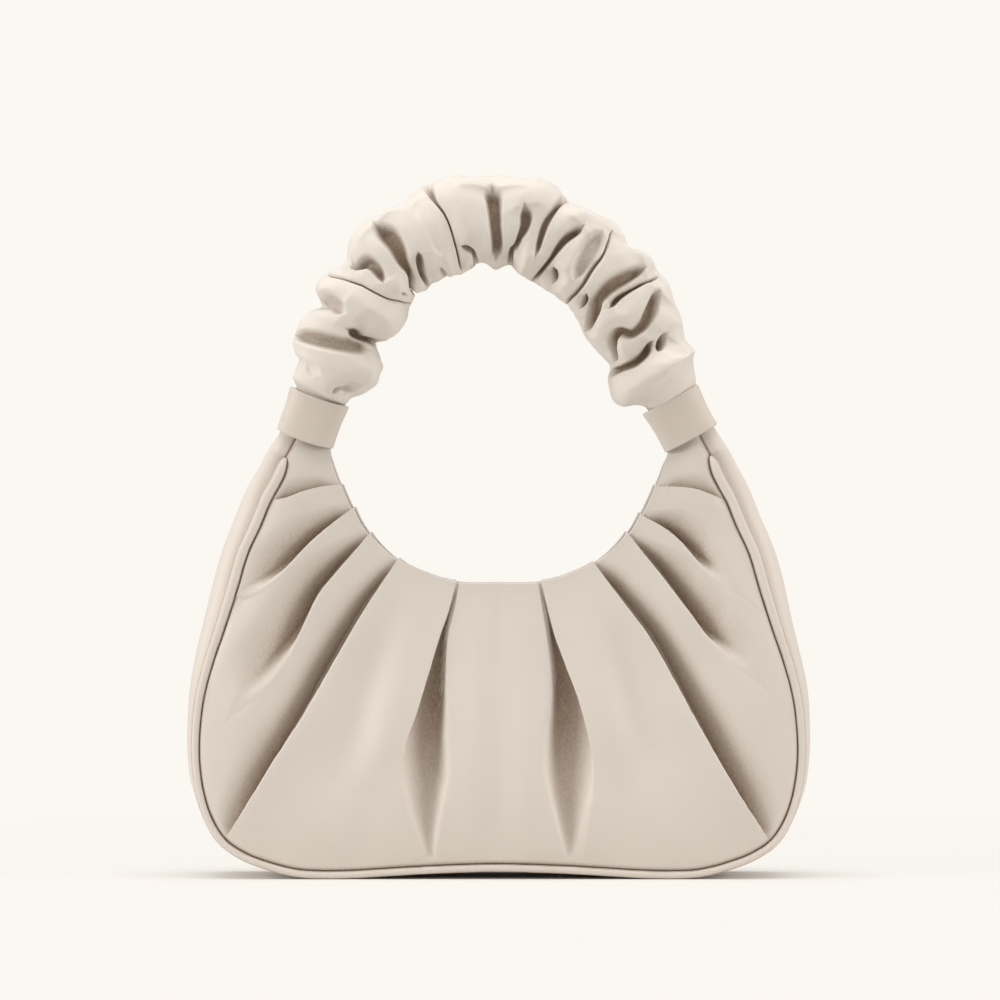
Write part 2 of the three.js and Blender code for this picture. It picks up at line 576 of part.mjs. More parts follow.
// A point beside the handle's centreline: outwards by out and to the back by back
function besideHandle(at, out, back) {
  const tangent = handlePath.getTangentAt(clamp01(at));
  const outward = new THREE.Vector3(-tangent.z, 0, tangent.x);
  return handlePath.getPointAt(clamp01(at)).addScaledVector(outward, out)
    .add(new THREE.Vector3(0, back, 0));
}

// The sleeve's outline at a share of its length: outer, inner and depth in millimetres. Its ends
// are gathered to fit the keepers.
const endFit = {
  radius: keeperWidth / 2 - 2 * clearance,
  depth: keeperDepth / 2 - 2 * clearance,
};
const keeperShare = keeperHeight / 2 / handlePath.getLength();
function sleeveOutline(at) {
  const end = { outer: endFit.radius, inner: endFit.radius, depth: endFit.depth };
  const rows = [
    { at: 0, ...end },
    { at: keeperShare * 0.98, ...end },
    ...sleeveRows.map((row) => ({
      at: row.at, outer: row.outer * sleeveRadius, inner: row.inner * sleeveRadius,
      depth: row.depth * sleeveDepth,
    })),
    { at: 1 - keeperShare * 0.98, ...end },
    { at: 1, ...end },
  ];
  const k = Math.max(0, Math.min(rows.length - 2, rows.findIndex((row) => row.at > at) - 1));
  const t = smooth((at - rows[k].at) / (rows[k + 1].at - rows[k].at));
  const mix = (key) => lerp(rows[k][key], rows[k + 1][key], t);
  return { outer: mix('outer'), inner: mix('inner'), depth: mix('depth') };
}

// How deep the creases cut at a share of the length and an angle round the sleeve
function creasesAt(at, angle, length) {
  let cut = 0;
  for (const { from, to, start, middle, end, wide, deep } of creaseRows) {
    const centre = (from + to) / 2;
    const turned = centre + ((((angle - centre) % 360) + 540) % 360) - 180;
    const t = (from - turned) / (from - to);
    const bend = 2 * (start + end) - 4 * middle;
    const path = start + (4 * middle - 3 * start - end) * t + bend * t * t;
    const past = Math.max(0, turned - from, to - turned);
    const width = Math.max(0.5 * creaseWidth * wide, length / facets.sleeveRings);
    const away = Math.abs(at - path) * length / width;
    if (past < creaseRunOut && away < 6) {
      cut += creaseDepth * deep * Math.exp(-away) * (1 - smooth(past / creaseRunOut));
    }
  }
  return cut;
}

function sleeveSolid() {
  const length = handlePath.getLength();
  const bore = {
    radius: coreWidth / 2 + clearance,
    depth: coreThickness / 2 + clearance,
  };
  const grid = [];
  for (let i = 0; i < facets.sleeveSides; i++) {
    const angle = (2 * Math.PI * i) / facets.sleeveSides;
    const [s, c] = [Math.sin(angle), Math.cos(angle)];
    const loop = [];
    for (let k = 0; k <= facets.sleeveRings; k++) {
      const at = k / facets.sleeveRings;
      const { outer, inner, depth } = sleeveOutline(at);
      const free = smooth((Math.min(at, 1 - at) - keeperShare) / keeperShare);
      const cut = creasesAt(at, THREE.MathUtils.radToDeg(angle), length) * free;
      const radius = s > 0 ? outer : inner;
      const across = Math.max(bore.radius + leather, radius - cut);
      const deep = Math.max(bore.depth + leather, depth - cut);
      const tight = free === 0;
      loop.push(besideHandle(at, (tight ? radius : across) * s, -(tight ? depth : deep) * c));
    }
    for (let k = facets.coreRings; k >= 0; k--) {
      const at = k / facets.coreRings;
      loop.push(besideHandle(at, bore.radius * s, -bore.depth * c));
    }
    grid.push(loop);
  }
  return solidFromLoops(grid, true);
}

function coreSolid() {
  const grid = [];
  for (let i = 0; i <= facets.coreRings; i++) {
    const loop = [];
    for (let j = 0; j < facets.coreSides; j++) {
      const angle = (2 * Math.PI * (j + 0.5)) / facets.coreSides;
      const out = (coreWidth / 2) * Math.cos(angle);
      const back = (coreThickness / 2) * Math.sin(angle);
      loop.push(besideHandle(i / facets.coreRings, out, back));
    }
    grid.push(loop);
  }
  return solidFromLoops(grid);
}

// Materials
const oatLeather = new THREE.MeshStandardMaterial({ color: 0xd8cdc0, roughness: 0.52 });
const pipingLeather = new THREE.MeshStandardMaterial({ color: 0xd9cabc, roughness: 0.5 });
const keeperLeather = new THREE.MeshStandardMaterial({ color: 0xd0c4b6, roughness: 0.5 });
const sleeveLeather = new THREE.MeshStandardMaterial({ color: 0xddd3c8, roughness: 0.5 });
const strapLeather = new THREE.MeshStandardMaterial({ color: 0xcbbfb1, roughness: 0.6 });

// The assembly
const bag = new THREE.Group();
function piece(name, geometry, material) {
  const mesh = new THREE.Mesh(geometry, material);
  mesh.name = name;
  bag.add(mesh);
}
const panelLoops = frontPanelLoops();
const welt = pipingLoops();
piece('front_panel', solidFromLoops(panelLoops), oatLeather);
piece('back_panel', solidFromLoops(mirrored(panelLoops)), oatLeather);
piece('gusset', gussetSolid(), oatLeather);
piece('piping_front', solidFromLoops(welt), pipingLeather);
piece('piping_back', solidFromLoops(mirrored(welt)), pipingLeather);
piece('keeper_left', keeperSolid(leftKeeper), keeperLeather);
piece('keeper_right', keeperSolid(rightKeeper), keeperLeather);
piece('handle_sleeve', sleeveSolid(), sleeveLeather);
piece('handle_core', coreSolid(), strapLeather);

export default bag;
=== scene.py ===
"""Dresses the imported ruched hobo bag: leather pieces, studio light and a camera.

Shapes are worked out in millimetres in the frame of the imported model: X runs along the bag, the
front faces -Y, Z is up, and the origin is on the floor under the middle of the bag.
"""

import logging
import math
from dataclasses import dataclass, field
from enum import Enum

import bpy
import numpy as np
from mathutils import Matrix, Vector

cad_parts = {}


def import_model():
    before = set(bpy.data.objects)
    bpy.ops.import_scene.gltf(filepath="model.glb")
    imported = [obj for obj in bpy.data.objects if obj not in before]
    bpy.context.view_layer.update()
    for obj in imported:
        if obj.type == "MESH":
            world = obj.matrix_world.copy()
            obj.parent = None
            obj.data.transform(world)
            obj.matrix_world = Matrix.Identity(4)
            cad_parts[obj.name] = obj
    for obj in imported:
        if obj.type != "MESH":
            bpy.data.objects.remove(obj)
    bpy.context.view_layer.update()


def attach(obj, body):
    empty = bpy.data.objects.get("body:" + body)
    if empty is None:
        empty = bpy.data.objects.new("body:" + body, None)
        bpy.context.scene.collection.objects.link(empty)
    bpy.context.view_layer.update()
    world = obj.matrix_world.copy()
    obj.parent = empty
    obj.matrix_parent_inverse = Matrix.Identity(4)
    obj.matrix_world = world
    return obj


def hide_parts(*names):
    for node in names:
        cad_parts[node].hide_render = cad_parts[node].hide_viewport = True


log = logging.getLogger("hobo")

HALF_WIDTH = 130.0
BODY_HEIGHT = 184.0
BASE_DEPTH = 56.0
MOUTH_GAP = 17.0
PANEL_PUFF = 7.6
GUSSET_BULGE = 8.5
LEATHER = 1.6
CLEARANCE = 0.3
KEEPER_WIDTH = 21.8
KEEPER_DEPTH = 13.8
KEEPER_HEIGHT = 19.0
KEEPER_WALL = 1.4
KEEPER_FLARE = 0.8


class Side(Enum):
    """The two ends of the bag, by the sign of X."""

    LEFT = -1
    RIGHT = 1


class Face(Enum):
    """The two faces of the body, by the sign of Y."""

    FRONT = -1
    BACK = 1


# Small mathematics on arrays


def smooth(t: np.ndarray) -> np.ndarray:
    """A soft step: 0 below 0, 1 above 1, and 3t^2 - 2t^3 between."""
    t = np.clip(t, 0.0, 1.0)
    return t * t * (3.0 - 2.0 * t)


def rows(*table: tuple) -> np.ndarray:
    """A short table of numbers as an array, one row each."""
    return np.array(table, float)


def monotone(x: np.ndarray, table: np.ndarray) -> np.ndarray:
    """A curve through a table's points that never overshoots them.

    Each point's slope is the harmonic mean of the slopes beside it, and cubic pieces join them.

    Args:
        x: where the curve is read.
        table: rows of place and value, with rising places.

    Returns:
        The values at x.
    """
    places, values = table[:, 0], table[:, 1]
    step = np.diff(places)
    slope = np.diff(values) / step
    a, b = slope[:-1], slope[1:]
    middle = np.where(a * b > 0, 2 * a * b / np.where(a + b == 0, 1, a + b), 0.0)
    tangent = np.concatenate([[slope[0]], middle, [slope[-1]]])
    i = np.clip(np.searchsorted(places, x) - 1, 0, len(step) - 1)
    t = np.clip((x - places[i]) / step[i], 0, 1)
    h = step[i]
    return (
        values[i] * (1 + 2 * t) * (1 - t) ** 2
        + tangent[i] * h * t * (1 - t) ** 2
        + values[i + 1] * t * t * (3 - 2 * t)
        - tangent[i + 1] * h * t * t * (1 - t)
    )


def ripples(x: np.ndarray, y: np.ndarray, wave: float, seed: int) -> np.ndarray:
    """Soft irregular waves between about -1 and 1: twelve plane waves with fixed random headings.

    Args:
        x: first coordinate, in millimetres.
        y: second coordinate, in millimetres.
        wave: typical wavelength, in millimetres.
        seed: picks the headings and phases.

    Returns:
        The height of the waves at each point.
    """
    random = np.random.default_rng(seed)
    total = np.zeros(np.broadcast(x, y).shape)
    for heading, phase, length in zip(
        random.uniform(0, np.pi, 12), random.uniform(0, 2 * np.pi, 12), random.uniform(0.7, 1.6, 12)
    ):
        k = 2 * np.pi / (wave * length)
        total += np.sin(k * (np.cos(heading) * x + np.sin(heading) * y) + phase)
    return total / 4.0


class Curve:
    """A smooth curve through points with any number of columns, the first three being a place."""

    def __init__(self, points: np.ndarray, fine: int = 60) -> None:
        """Samples a centripetal Catmull-Rom curve through the points.

        Args:
            points: one row for each point.
            fine: samples between two points.
        """
        p = np.vstack([2 * points[0] - points[1], points, 2 * points[-1] - points[-2]])
        gap = np.sqrt(np.linalg.norm(np.diff(p[:, :3], axis=0), axis=1))[:, None] + 1e-9
        d0, d1, d2 = gap[:-2], gap[1:-1], gap[2:]
        p0, p1, p2, p3 = p[:-3], p[1:-2], p[2:-1], p[3:]
        m1 = ((p1 - p0) / d0 - (p2 - p0) / (d0 + d1) + (p2 - p1) / d1) * d1
        m2 = ((p2 - p1) / d1 - (p3 - p1) / (d1 + d2) + (p3 - p2) / d2) * d1
        t = np.linspace(0, 1, fine, endpoint=False)[None, :, None]
        piece = (
            p1[:, None] * (1 + 2 * t) * (1 - t) ** 2
            + m1[:, None] * t * (1 - t) ** 2
            + p2[:, None] * t * t * (3 - 2 * t)
            - m2[:, None] * t * t * (1 - t)
        )
        self.samples = np.vstack([piece.reshape(-1, p.shape[1]), points[-1]])
        steps = np.linalg.norm(np.diff(self.samples[:, :3], axis=0), axis=1)
        self.along = np.concatenate([[0.0], np.cumsum(steps)])
        self.length = float(self.along[-1])

    def at(self, distance: np.ndarray) -> np.ndarray:
        """The curve's columns at distances along it."""
        flat = np.ravel(distance)
        found = [np.interp(flat, self.along, column) for column in self.samples.T]
        return np.stack(found, -1).reshape(*np.shape(distance), -1)

    def heading(self, distance: np.ndarray, reach: float = 0.8) -> np.ndarray:
        """The unit tangent at distances along the curve, taken over a short reach."""
        d = np.clip(distance, reach, self.length - reach)
        ahead = self.at(d + reach)[..., :3] - self.at(d - reach)[..., :3]
        return ahead / np.linalg.norm(ahead, axis=-1, keepdims=True)


# Meshes


def solid_from_loops(
    name: str, grid: np.ndarray, joined: bool = False, crease: np.ndarray | None = None
) -> bpy.types.Object:
    """Makes a closed mesh from loops of points.

    Each row of the grid is a closed loop. The rows follow each other, and either the last joins
    the first or one face closes each end. Faces are turned to point outwards by the sign of the
    volume.

    Args:
        name: the piece's name.
        grid: loops by points by three, in millimetres.
        joined: whether the last loop joins the first.
        crease: how deep in a fold each point lies, from 0 to 1; the leather paints shade there and deepens its grain.

    Returns:
        The new object, at the origin.
    """
    loops, sides = grid.shape[:2]
    i = np.arange(loops if joined else loops - 1)[:, None]
    j = np.arange(sides)[None]
    following, beside = (i + 1) % loops, (j + 1) % sides
    quads = np.stack(
        [i * sides + j, i * sides + beside, following * sides + beside, following * sides + j], -1
    ).reshape(-1, 4)
    points = grid.reshape(-1, 3) * 0.001
    a, b, c, d = (points[quads[:, k]] for k in range(4))
    volume = np.einsum("ij,ij->", a, np.cross(b, c)) + np.einsum("ij,ij->", a, np.cross(c, d))
    if volume < 0:
        quads = quads[:, ::-1]
    faces = quads.tolist()
    if not joined:
        ends = [list(range(sides)), list(range((loops - 1) * sides, loops * sides))]
        faces += [ends[0][::-1], ends[1]] if volume >= 0 else [ends[0], ends[1][::-1]]
    mesh = bpy.data.meshes.new(name)
    mesh.from_pydata(points.tolist(), [], faces)
    mesh.polygons.foreach_set("use_smooth", np.ones(len(mesh.polygons), bool))
    shade = mesh.attributes.new("crease", "FLOAT", "POINT")
    values = np.zeros(len(points)) if crease is None else np.ravel(crease)
    shade.data.foreach_set("value", values.astype(np.float32))
    mesh.update()
    made = bpy.data.objects.new(name, mesh)
    bpy.context.scene.collection.objects.link(made)
    return made


# The leather


def node_group(name: str, inputs: dict[str, float], outputs: dict[str, str]) -> tuple:
    """Starts a shader node group with named sockets.

    Args:
        name: the group's name.
        inputs: name to default value; a value of None makes a vector.
        outputs: name to socket type.

    Returns:
        The tree, its input node and its output node.
    """
    tree = bpy.data.node_groups.new(name, "ShaderNodeTree")
    for label, value in inputs.items():
        kind = "NodeSocketVector" if value is None else "NodeSocketFloat"
        socket = tree.interface.new_socket(label, in_out="INPUT", socket_type=kind)
        if value is not None:
            socket.default_value = value
    for label, kind in outputs.items():
        tree.interface.new_socket(label, in_out="OUTPUT", socket_type=kind)
    return tree, tree.nodes.new("NodeGroupInput"), tree.nodes.new("NodeGroupOutput")


def math_node(tree: bpy.types.NodeTree, operation: str, *values: object) -> bpy.types.NodeSocket:
    """Adds a Math node whose inputs are sockets or numbers, and returns its output."""
    node = tree.nodes.new("ShaderNodeMath")
    node.operation = operation
    for k, value in enumerate(values):
        if isinstance(value, (int, float)):
            node.inputs[k].default_value = value
        else:
            tree.links.new(value, node.inputs[k])
    return node.outputs[0]


class PebbleGrain:
    """The fine pebbled grain of smooth leather: small rounded cells over slower unevenness."""

    def __init__(self) -> None:
        """Builds the group once. Its height is in millimetres and its mottle from 0 to 1."""
        tree, ins, outs = node_group(
            "Pebble grain",
            {"Vector": None, "Cell size": 0.7, "Crease": 0.0},
            {"Height": "NodeSocketFloat", "Mottle": "NodeSocketFloat", "Pores": "NodeSocketFloat"},
        )
        scale = math_node(tree, "DIVIDE", 1000.0, ins.outputs["Cell size"])
        cells = tree.nodes.new("ShaderNodeTexVoronoi")
        cells.feature = "SMOOTH_F1"
        cells.inputs["Smoothness"].default_value = 0.35
        cells.inputs["Randomness"].default_value = 0.9
        tree.links.new(ins.outputs["Vector"], cells.inputs["Vector"])
        tree.links.new(scale, cells.inputs["Scale"])
        blotch = tree.nodes.new("ShaderNodeTexNoise")
        blotch.inputs["Scale"].default_value = 22.0
        blotch.inputs["Detail"].default_value = 3.0
        tree.links.new(ins.outputs["Vector"], blotch.inputs["Vector"])
        pucker = tree.nodes.new("ShaderNodeTexNoise")
        pucker.inputs["Scale"].default_value = 850.0
        pucker.inputs["Detail"].default_value = 3.0
        tree.links.new(ins.outputs["Vector"], pucker.inputs["Vector"])
        depth = math_node(tree, "MULTIPLY_ADD", ins.outputs["Crease"], 0.12, 0.014)
        grain = math_node(tree, "MULTIPLY", cells.outputs["Distance"], depth)
        deep = math_node(tree, "MULTIPLY", ins.outputs["Crease"], 0.16)
        folds = math_node(tree, "MULTIPLY", pucker.outputs["Fac"], deep)
        height = math_node(tree, "SUBTRACT", folds, grain)
        tree.links.new(height, outs.inputs["Height"])
        specks = math_node(tree, "MULTIPLY", pucker.outputs["Fac"], ins.outputs["Crease"])
        specks = math_node(tree, "MULTIPLY_ADD", ins.outputs["Crease"], -0.5, specks)
        mottle = math_node(tree, "MULTIPLY_ADD", specks, 20.0, blotch.outputs["Fac"])
        tree.links.new(mottle, outs.inputs["Mottle"])
        tree.links.new(cells.outputs["Distance"], outs.inputs["Pores"])
        self.tree = tree


@dataclass(frozen=True)
class Leather:
    """A smooth semi-matt leather with painted shade: the crease attribute makes it darker and warmer in its folds."""

    name: str
    slot: str
    base: tuple[float, float, float]
    fold_shade_tint: tuple[float, float, float] = (0.56, 0.465, 0.385)
    roughness: float = 0.5
    cell: float = 0.7
    sheen: float = 0.12

    def material(self, grain: PebbleGrain) -> bpy.types.Material:
        """Builds the material.

        Args:
            grain: the shared grain group.

        Returns:
            A material with its own Principled shader.
        """
        made = bpy.data.materials.new(self.name)
        made.use_nodes = True
        tree = made.node_tree
        shader = tree.nodes["Principled BSDF"]
        place = tree.nodes.new("ShaderNodeTexCoord")
        crease = tree.nodes.new("ShaderNodeAttribute")
        crease.attribute_name = "crease"
        pebbles = tree.nodes.new("ShaderNodeGroup")
        pebbles.node_tree = grain.tree
        pebbles.inputs["Cell size"].default_value = self.cell
        tree.links.new(place.outputs["Object"], pebbles.inputs["Vector"])
        tree.links.new(crease.outputs["Fac"], pebbles.inputs["Crease"])
        # Painted shade: the crease attribute mixes the base colour towards a darker, warmer copy of it in the folds.
        shade = tree.nodes.new("ShaderNodeMix")
        shade.data_type = "RGBA"
        shade.inputs["A"].default_value = (*self.base, 1)
        shade.inputs["B"].default_value = (*(b * w for b, w in zip(self.base, self.fold_shade_tint)), 1)
        tree.links.new(crease.outputs["Fac"], shade.inputs["Factor"])
        mottle = tree.nodes.new("ShaderNodeMix")
        mottle.data_type = "RGBA"
        mottle.blend_type = "MULTIPLY"
        mottle.inputs["Factor"].default_value = 1.0
        tone = math_node(tree, "MULTIPLY_ADD", pebbles.outputs["Mottle"], 0.05, 0.965)
        tree.links.new(shade.outputs["Result"], mottle.inputs["A"])
        tree.links.new(tone, mottle.inputs["B"])
        tree.links.new(mottle.outputs["Result"], shader.inputs["Base Color"])
        rough = math_node(tree, "MULTIPLY_ADD", pebbles.outputs["Pores"], 0.12, self.roughness)
        tree.links.new(rough, shader.inputs["Roughness"])
        bump = tree.nodes.new("ShaderNodeBump")
        bump.inputs["Strength"].default_value = 1.0
        bump.inputs["Distance"].default_value = 0.001
        tree.links.new(pebbles.outputs["Height"], bump.inputs["Height"])
        tree.links.new(bump.outputs["Normal"], shader.inputs["Normal"])
        shader.inputs["Specular IOR Level"].default_value = 0.35
        shader.inputs["Sheen Weight"].default_value = self.sheen
        shader.inputs["Sheen Roughness"].default_value = 0.5
        return made


# The body's edges


@dataclass(frozen=True)
class Keeper:
    """A leather band round the joint of a neck and the handle."""

    side: Side
    across: float
    up: float
    lean: float
    sag: float

    def frame(self) -> tuple[np.ndarray, np.ndarray, np.ndarray]:
        """The band's middle, its axis upwards and its outward direction."""
        angle, s = math.radians(self.lean), self.side.value
        middle = np.array([s * self.across * HALF_WIDTH, 0.0, self.up * BODY_HEIGHT])
        axis = np.array([-s * math.sin(angle), 0.0, math.cos(angle)])
        out = np.array([s * math.cos(angle), 0.0, math.sin(angle)])
        return middle, axis, out

    def place(self, across: float, along: float, back: float = 0.0) -> np.ndarray:
        """A point in the band's own frame."""
        middle, axis, out = self.frame()
        return middle + out * across + axis * along + np.array([0.0, back, 0.0])

    def build(self) -> bpy.types.Object:
        """Makes the band: a rounded wall profile carried round an oval, soft at its edges.

        The oval is a superellipse. Its front sags along the axis, and slow waves dent it.

        Returns:
            The band.
        """
        middle, axis, out = self.frame()
        half, wall, r = KEEPER_HEIGHT / 2, KEEPER_WALL, 0.62
        turn = np.linspace(0, np.pi / 2, 6)
        lower = np.stack([wall - r + r * np.sin(turn), -half + r - r * np.cos(turn)], 1)
        upper = np.stack([wall - r + r * np.cos(turn), half - r + r * np.sin(turn)], 1)
        rise = np.linspace(-half + r, half - r, 26)[1:-1]
        side = np.stack([np.full_like(rise, wall), rise], 1)
        down = np.linspace(half, -half, 12)
        inner = np.stack([np.zeros_like(down), down], 1)
        profile = np.vstack([lower, side, upper, inner])
        angle = np.linspace(0, 2 * np.pi, 144, endpoint=False)[:, None]
        offset, along = profile[None, :, 0], profile[None, :, 1]
        share = np.clip(along / KEEPER_HEIGHT + 0.5, 0, 1)
        flare = KEEPER_FLARE * share
        waist = -0.25 * np.sin(np.pi * share)
        a = KEEPER_WIDTH / 2 + offset + flare + waist
        b = KEEPER_DEPTH / 2 + offset + flare / 2 + waist
        power = 2 / 2.6
        c, s = np.cos(angle), np.sin(angle)
        dents = 0.22 * ripples(angle * 11, along, 16.0, 5 + self.side.value)
        dents = dents * np.where(offset > 0.5, 1.0, 0.0)
        across = (a + dents) * np.sign(c) * np.abs(c) ** power
        back = (b + dents) * np.sign(s) * np.abs(s) ** power
        sag = -self.sag * np.clip(-s, 0, 1) ** 2
        grid = (
            middle
            + out * across[..., None]
            + axis * (along + sag)[..., None]
            + np.array([0.0, 1.0, 0.0]) * back[..., None]
        )
        name = "keeper_band_left" if self.side is Side.LEFT else "keeper_band_right"
        return solid_from_loops(name, grid, joined=True)


KEEPERS = {
    Side.LEFT: Keeper(Side.LEFT, 0.602, 1.045, 19.4, 1.1),
    Side.RIGHT: Keeper(Side.RIGHT, 0.589, 1.043, 28.8, 0.3),
}


@dataclass
class BodyEdges:
    """The mouth's edge and the seam of one face, from neck to neck, as shares of the body's size.

    mouth rows: across, up, share of the mouth's gap. seam rows: across, up, share of the base's
    depth, share of the gusset's bulge and share of the panel's puff.
    """

    mouth: np.ndarray = field(
        default_factory=lambda: rows(
            (0.0, 0.665, 1.0),
            (0.138, 0.668, 0.99),
            (0.235, 0.687, 0.95),
            (0.329, 0.718, 0.88),
            (0.423, 0.777, 0.74),
            (0.477, 0.835, 0.6),
            (0.516, 0.892, 0.42),
            (0.541, 0.938, 0.22),
        )
    )
    seam: np.ndarray = field(
        default_factory=lambda: rows(
            (0.0, 0.0252, 1.0, 0.14, 1.0),
            (0.185, 0.0218, 1.0, 0.14, 1.0),
            (0.331, 0.0162, 1.0, 0.14, 1.0),
            (0.462, 0.0106, 1.0, 0.14, 0.99),
            (0.556, 0.0093, 1.0, 0.14, 0.97),
            (0.643, 0.0127, 1.0, 0.14, 0.95),
            (0.726, 0.0266, 0.995, 0.13, 0.92),
            (0.815, 0.05, 0.99, 0.13, 0.88),
            (0.886, 0.085, 0.98, 0.16, 0.84),
            (0.933, 0.139, 0.96, 0.22, 0.79),
            (0.96, 0.203, 0.935, 0.31, 0.74),
            (0.972, 0.275, 0.905, 0.34, 0.69),
            (0.97, 0.345, 0.87, 0.4, 0.64),
            (0.958, 0.415, 0.825, 0.5, 0.59),
            (0.933, 0.486, 0.77, 0.63, 0.54),
            (0.898, 0.563, 0.7, 0.82, 0.48),
            (0.859, 0.653, 0.61, 0.95, 0.42),
            (0.825, 0.737, 0.51, 0.93, 0.36),
            (0.785, 0.8, 0.425, 1.0, 0.31),
            (0.751, 0.859, 0.345, 0.99, 0.26),
            (0.712, 0.911, 0.275, 0.97, 0.22),
            (0.69, 0.949, 0.232, 0.88, 0.19),
        )
    )
    # Which share of half the mouth's edge each share of half the seam is joined to by a ray
    pairing: np.ndarray = field(
        default_factory=lambda: rows(
            (0.0, 0.0),
            (0.046, 0.08),
            (0.093, 0.162),
            (0.205, 0.25),
            (0.335, 0.35),
            (0.386, 0.402),
            (0.472, 0.5),
            (0.511, 0.549),
            (0.655, 0.62),
            (0.72, 0.665),
            (0.805, 0.73),
            (0.868, 0.77),
            (0.937, 0.86),
            (0.967, 0.915),
            (1.0, 1.0),
        )
    )
    piping_end: float = 0.937
    piping_taper: float = 0.03
    piping_radius: float = 1.65

    def __post_init__(self) -> None:
        """Joins both halves and both necks into the two curves."""
        stations = (-KEEPER_HEIGHT / 2, -CLEARANCE / 2)
        neck_half = KEEPER_WIDTH / 2 - CLEARANCE

        def mouth_half(side: Side) -> np.ndarray:
            """The mouth's points from the middle to one neck, outermost last."""
            table = self.mouth
            depth = -(MOUTH_GAP / 2 * table[:, 2] + LEATHER)
            x = side.value * table[:, 0] * HALF_WIDTH
            body = np.stack([x, depth, table[:, 1] * BODY_HEIGHT], 1)
            end = -(MOUTH_GAP / 2 * 0.02 + LEATHER)
            neck = [KEEPERS[side].place(-neck_half * 0.96, s, end) for s in stations]
            return np.vstack([body, neck])

        def seam_half(side: Side) -> np.ndarray:
            """The seam's points from the middle to one neck, with bulge and puff."""
            table = self.seam
            x = side.value * table[:, 0] * HALF_WIDTH
            y = -table[:, 2] * BASE_DEPTH / 2
            body = np.stack([x, y, table[:, 1] * BODY_HEIGHT, table[:, 3], table[:, 4]], 1)
            across = neck_half - LEATHER / 2 - 0.75 * GUSSET_BULGE
            neck = [
                np.append(KEEPERS[side].place(across, s, -0.17 * BASE_DEPTH / 2), (0.75, 0.15))
                for s in stations
            ]
            return np.vstack([body, neck])

        self.mouth_curve = Curve(
            np.vstack([mouth_half(Side.LEFT)[:0:-1], mouth_half(Side.RIGHT)])
        )
        self.seam_curve = Curve(np.vstack([seam_half(Side.LEFT)[:0:-1], seam_half(Side.RIGHT)]))

    @staticmethod
    def _distance(curve: Curve, share: np.ndarray) -> np.ndarray:
        """The distance along a curve for a signed share of its half, counted from the middle."""
        middle = float(np.interp(0.0, curve.samples[:, 0], curve.along))
        rest = np.where(share < 0, middle, curve.length - middle)
        return middle + share * rest

    def mouth_at(self, share: np.ndarray) -> np.ndarray:
        """Points of the mouth's edge at signed shares of its half."""
        return self.mouth_curve.at(self._distance(self.mouth_curve, share))

    def seam_at(self, share: np.ndarray) -> dict[str, np.ndarray]:
        """What the seam has at signed shares of its half.

        Args:
            share: from -1 at the left neck to 1 at the right one.

        Returns:
            The point, the outward normal, the gusset's bulge, the panel's puff, the piping's
            radius and the room left for it.
        """
        distance = self._distance(self.seam_curve, share)
        found = self.seam_curve.at(distance)
        ahead = self.seam_curve.heading(distance)
        normal = np.stack([ahead[..., 2], 0 * ahead[..., 0], -ahead[..., 0]], -1)
        normal /= np.linalg.norm(normal, axis=-1, keepdims=True)
        past = (self.piping_end - np.abs(share)) / self.piping_taper
        swell = np.sqrt(1 - (1 - np.clip(past, 0, 1)) ** 2)
        fat = 1 + 0.42 * smooth((np.abs(share) - 0.48) / 0.3)
        radius = self.piping_radius * fat * swell
        return {
            "point": found[..., :3],
            "normal": normal,
            "bulge": found[..., 3] * GUSSET_BULGE,
            "puff": found[..., 4] * PANEL_PUFF,
            "radius": radius,
            "room": radius + 0.04,
        }

    def mouth_share(self, share: np.ndarray) -> np.ndarray:
        """The mouth's share that a seam's share is joined to."""
        return np.sign(share) * monotone(np.abs(share), self.pairing)


# The pleats


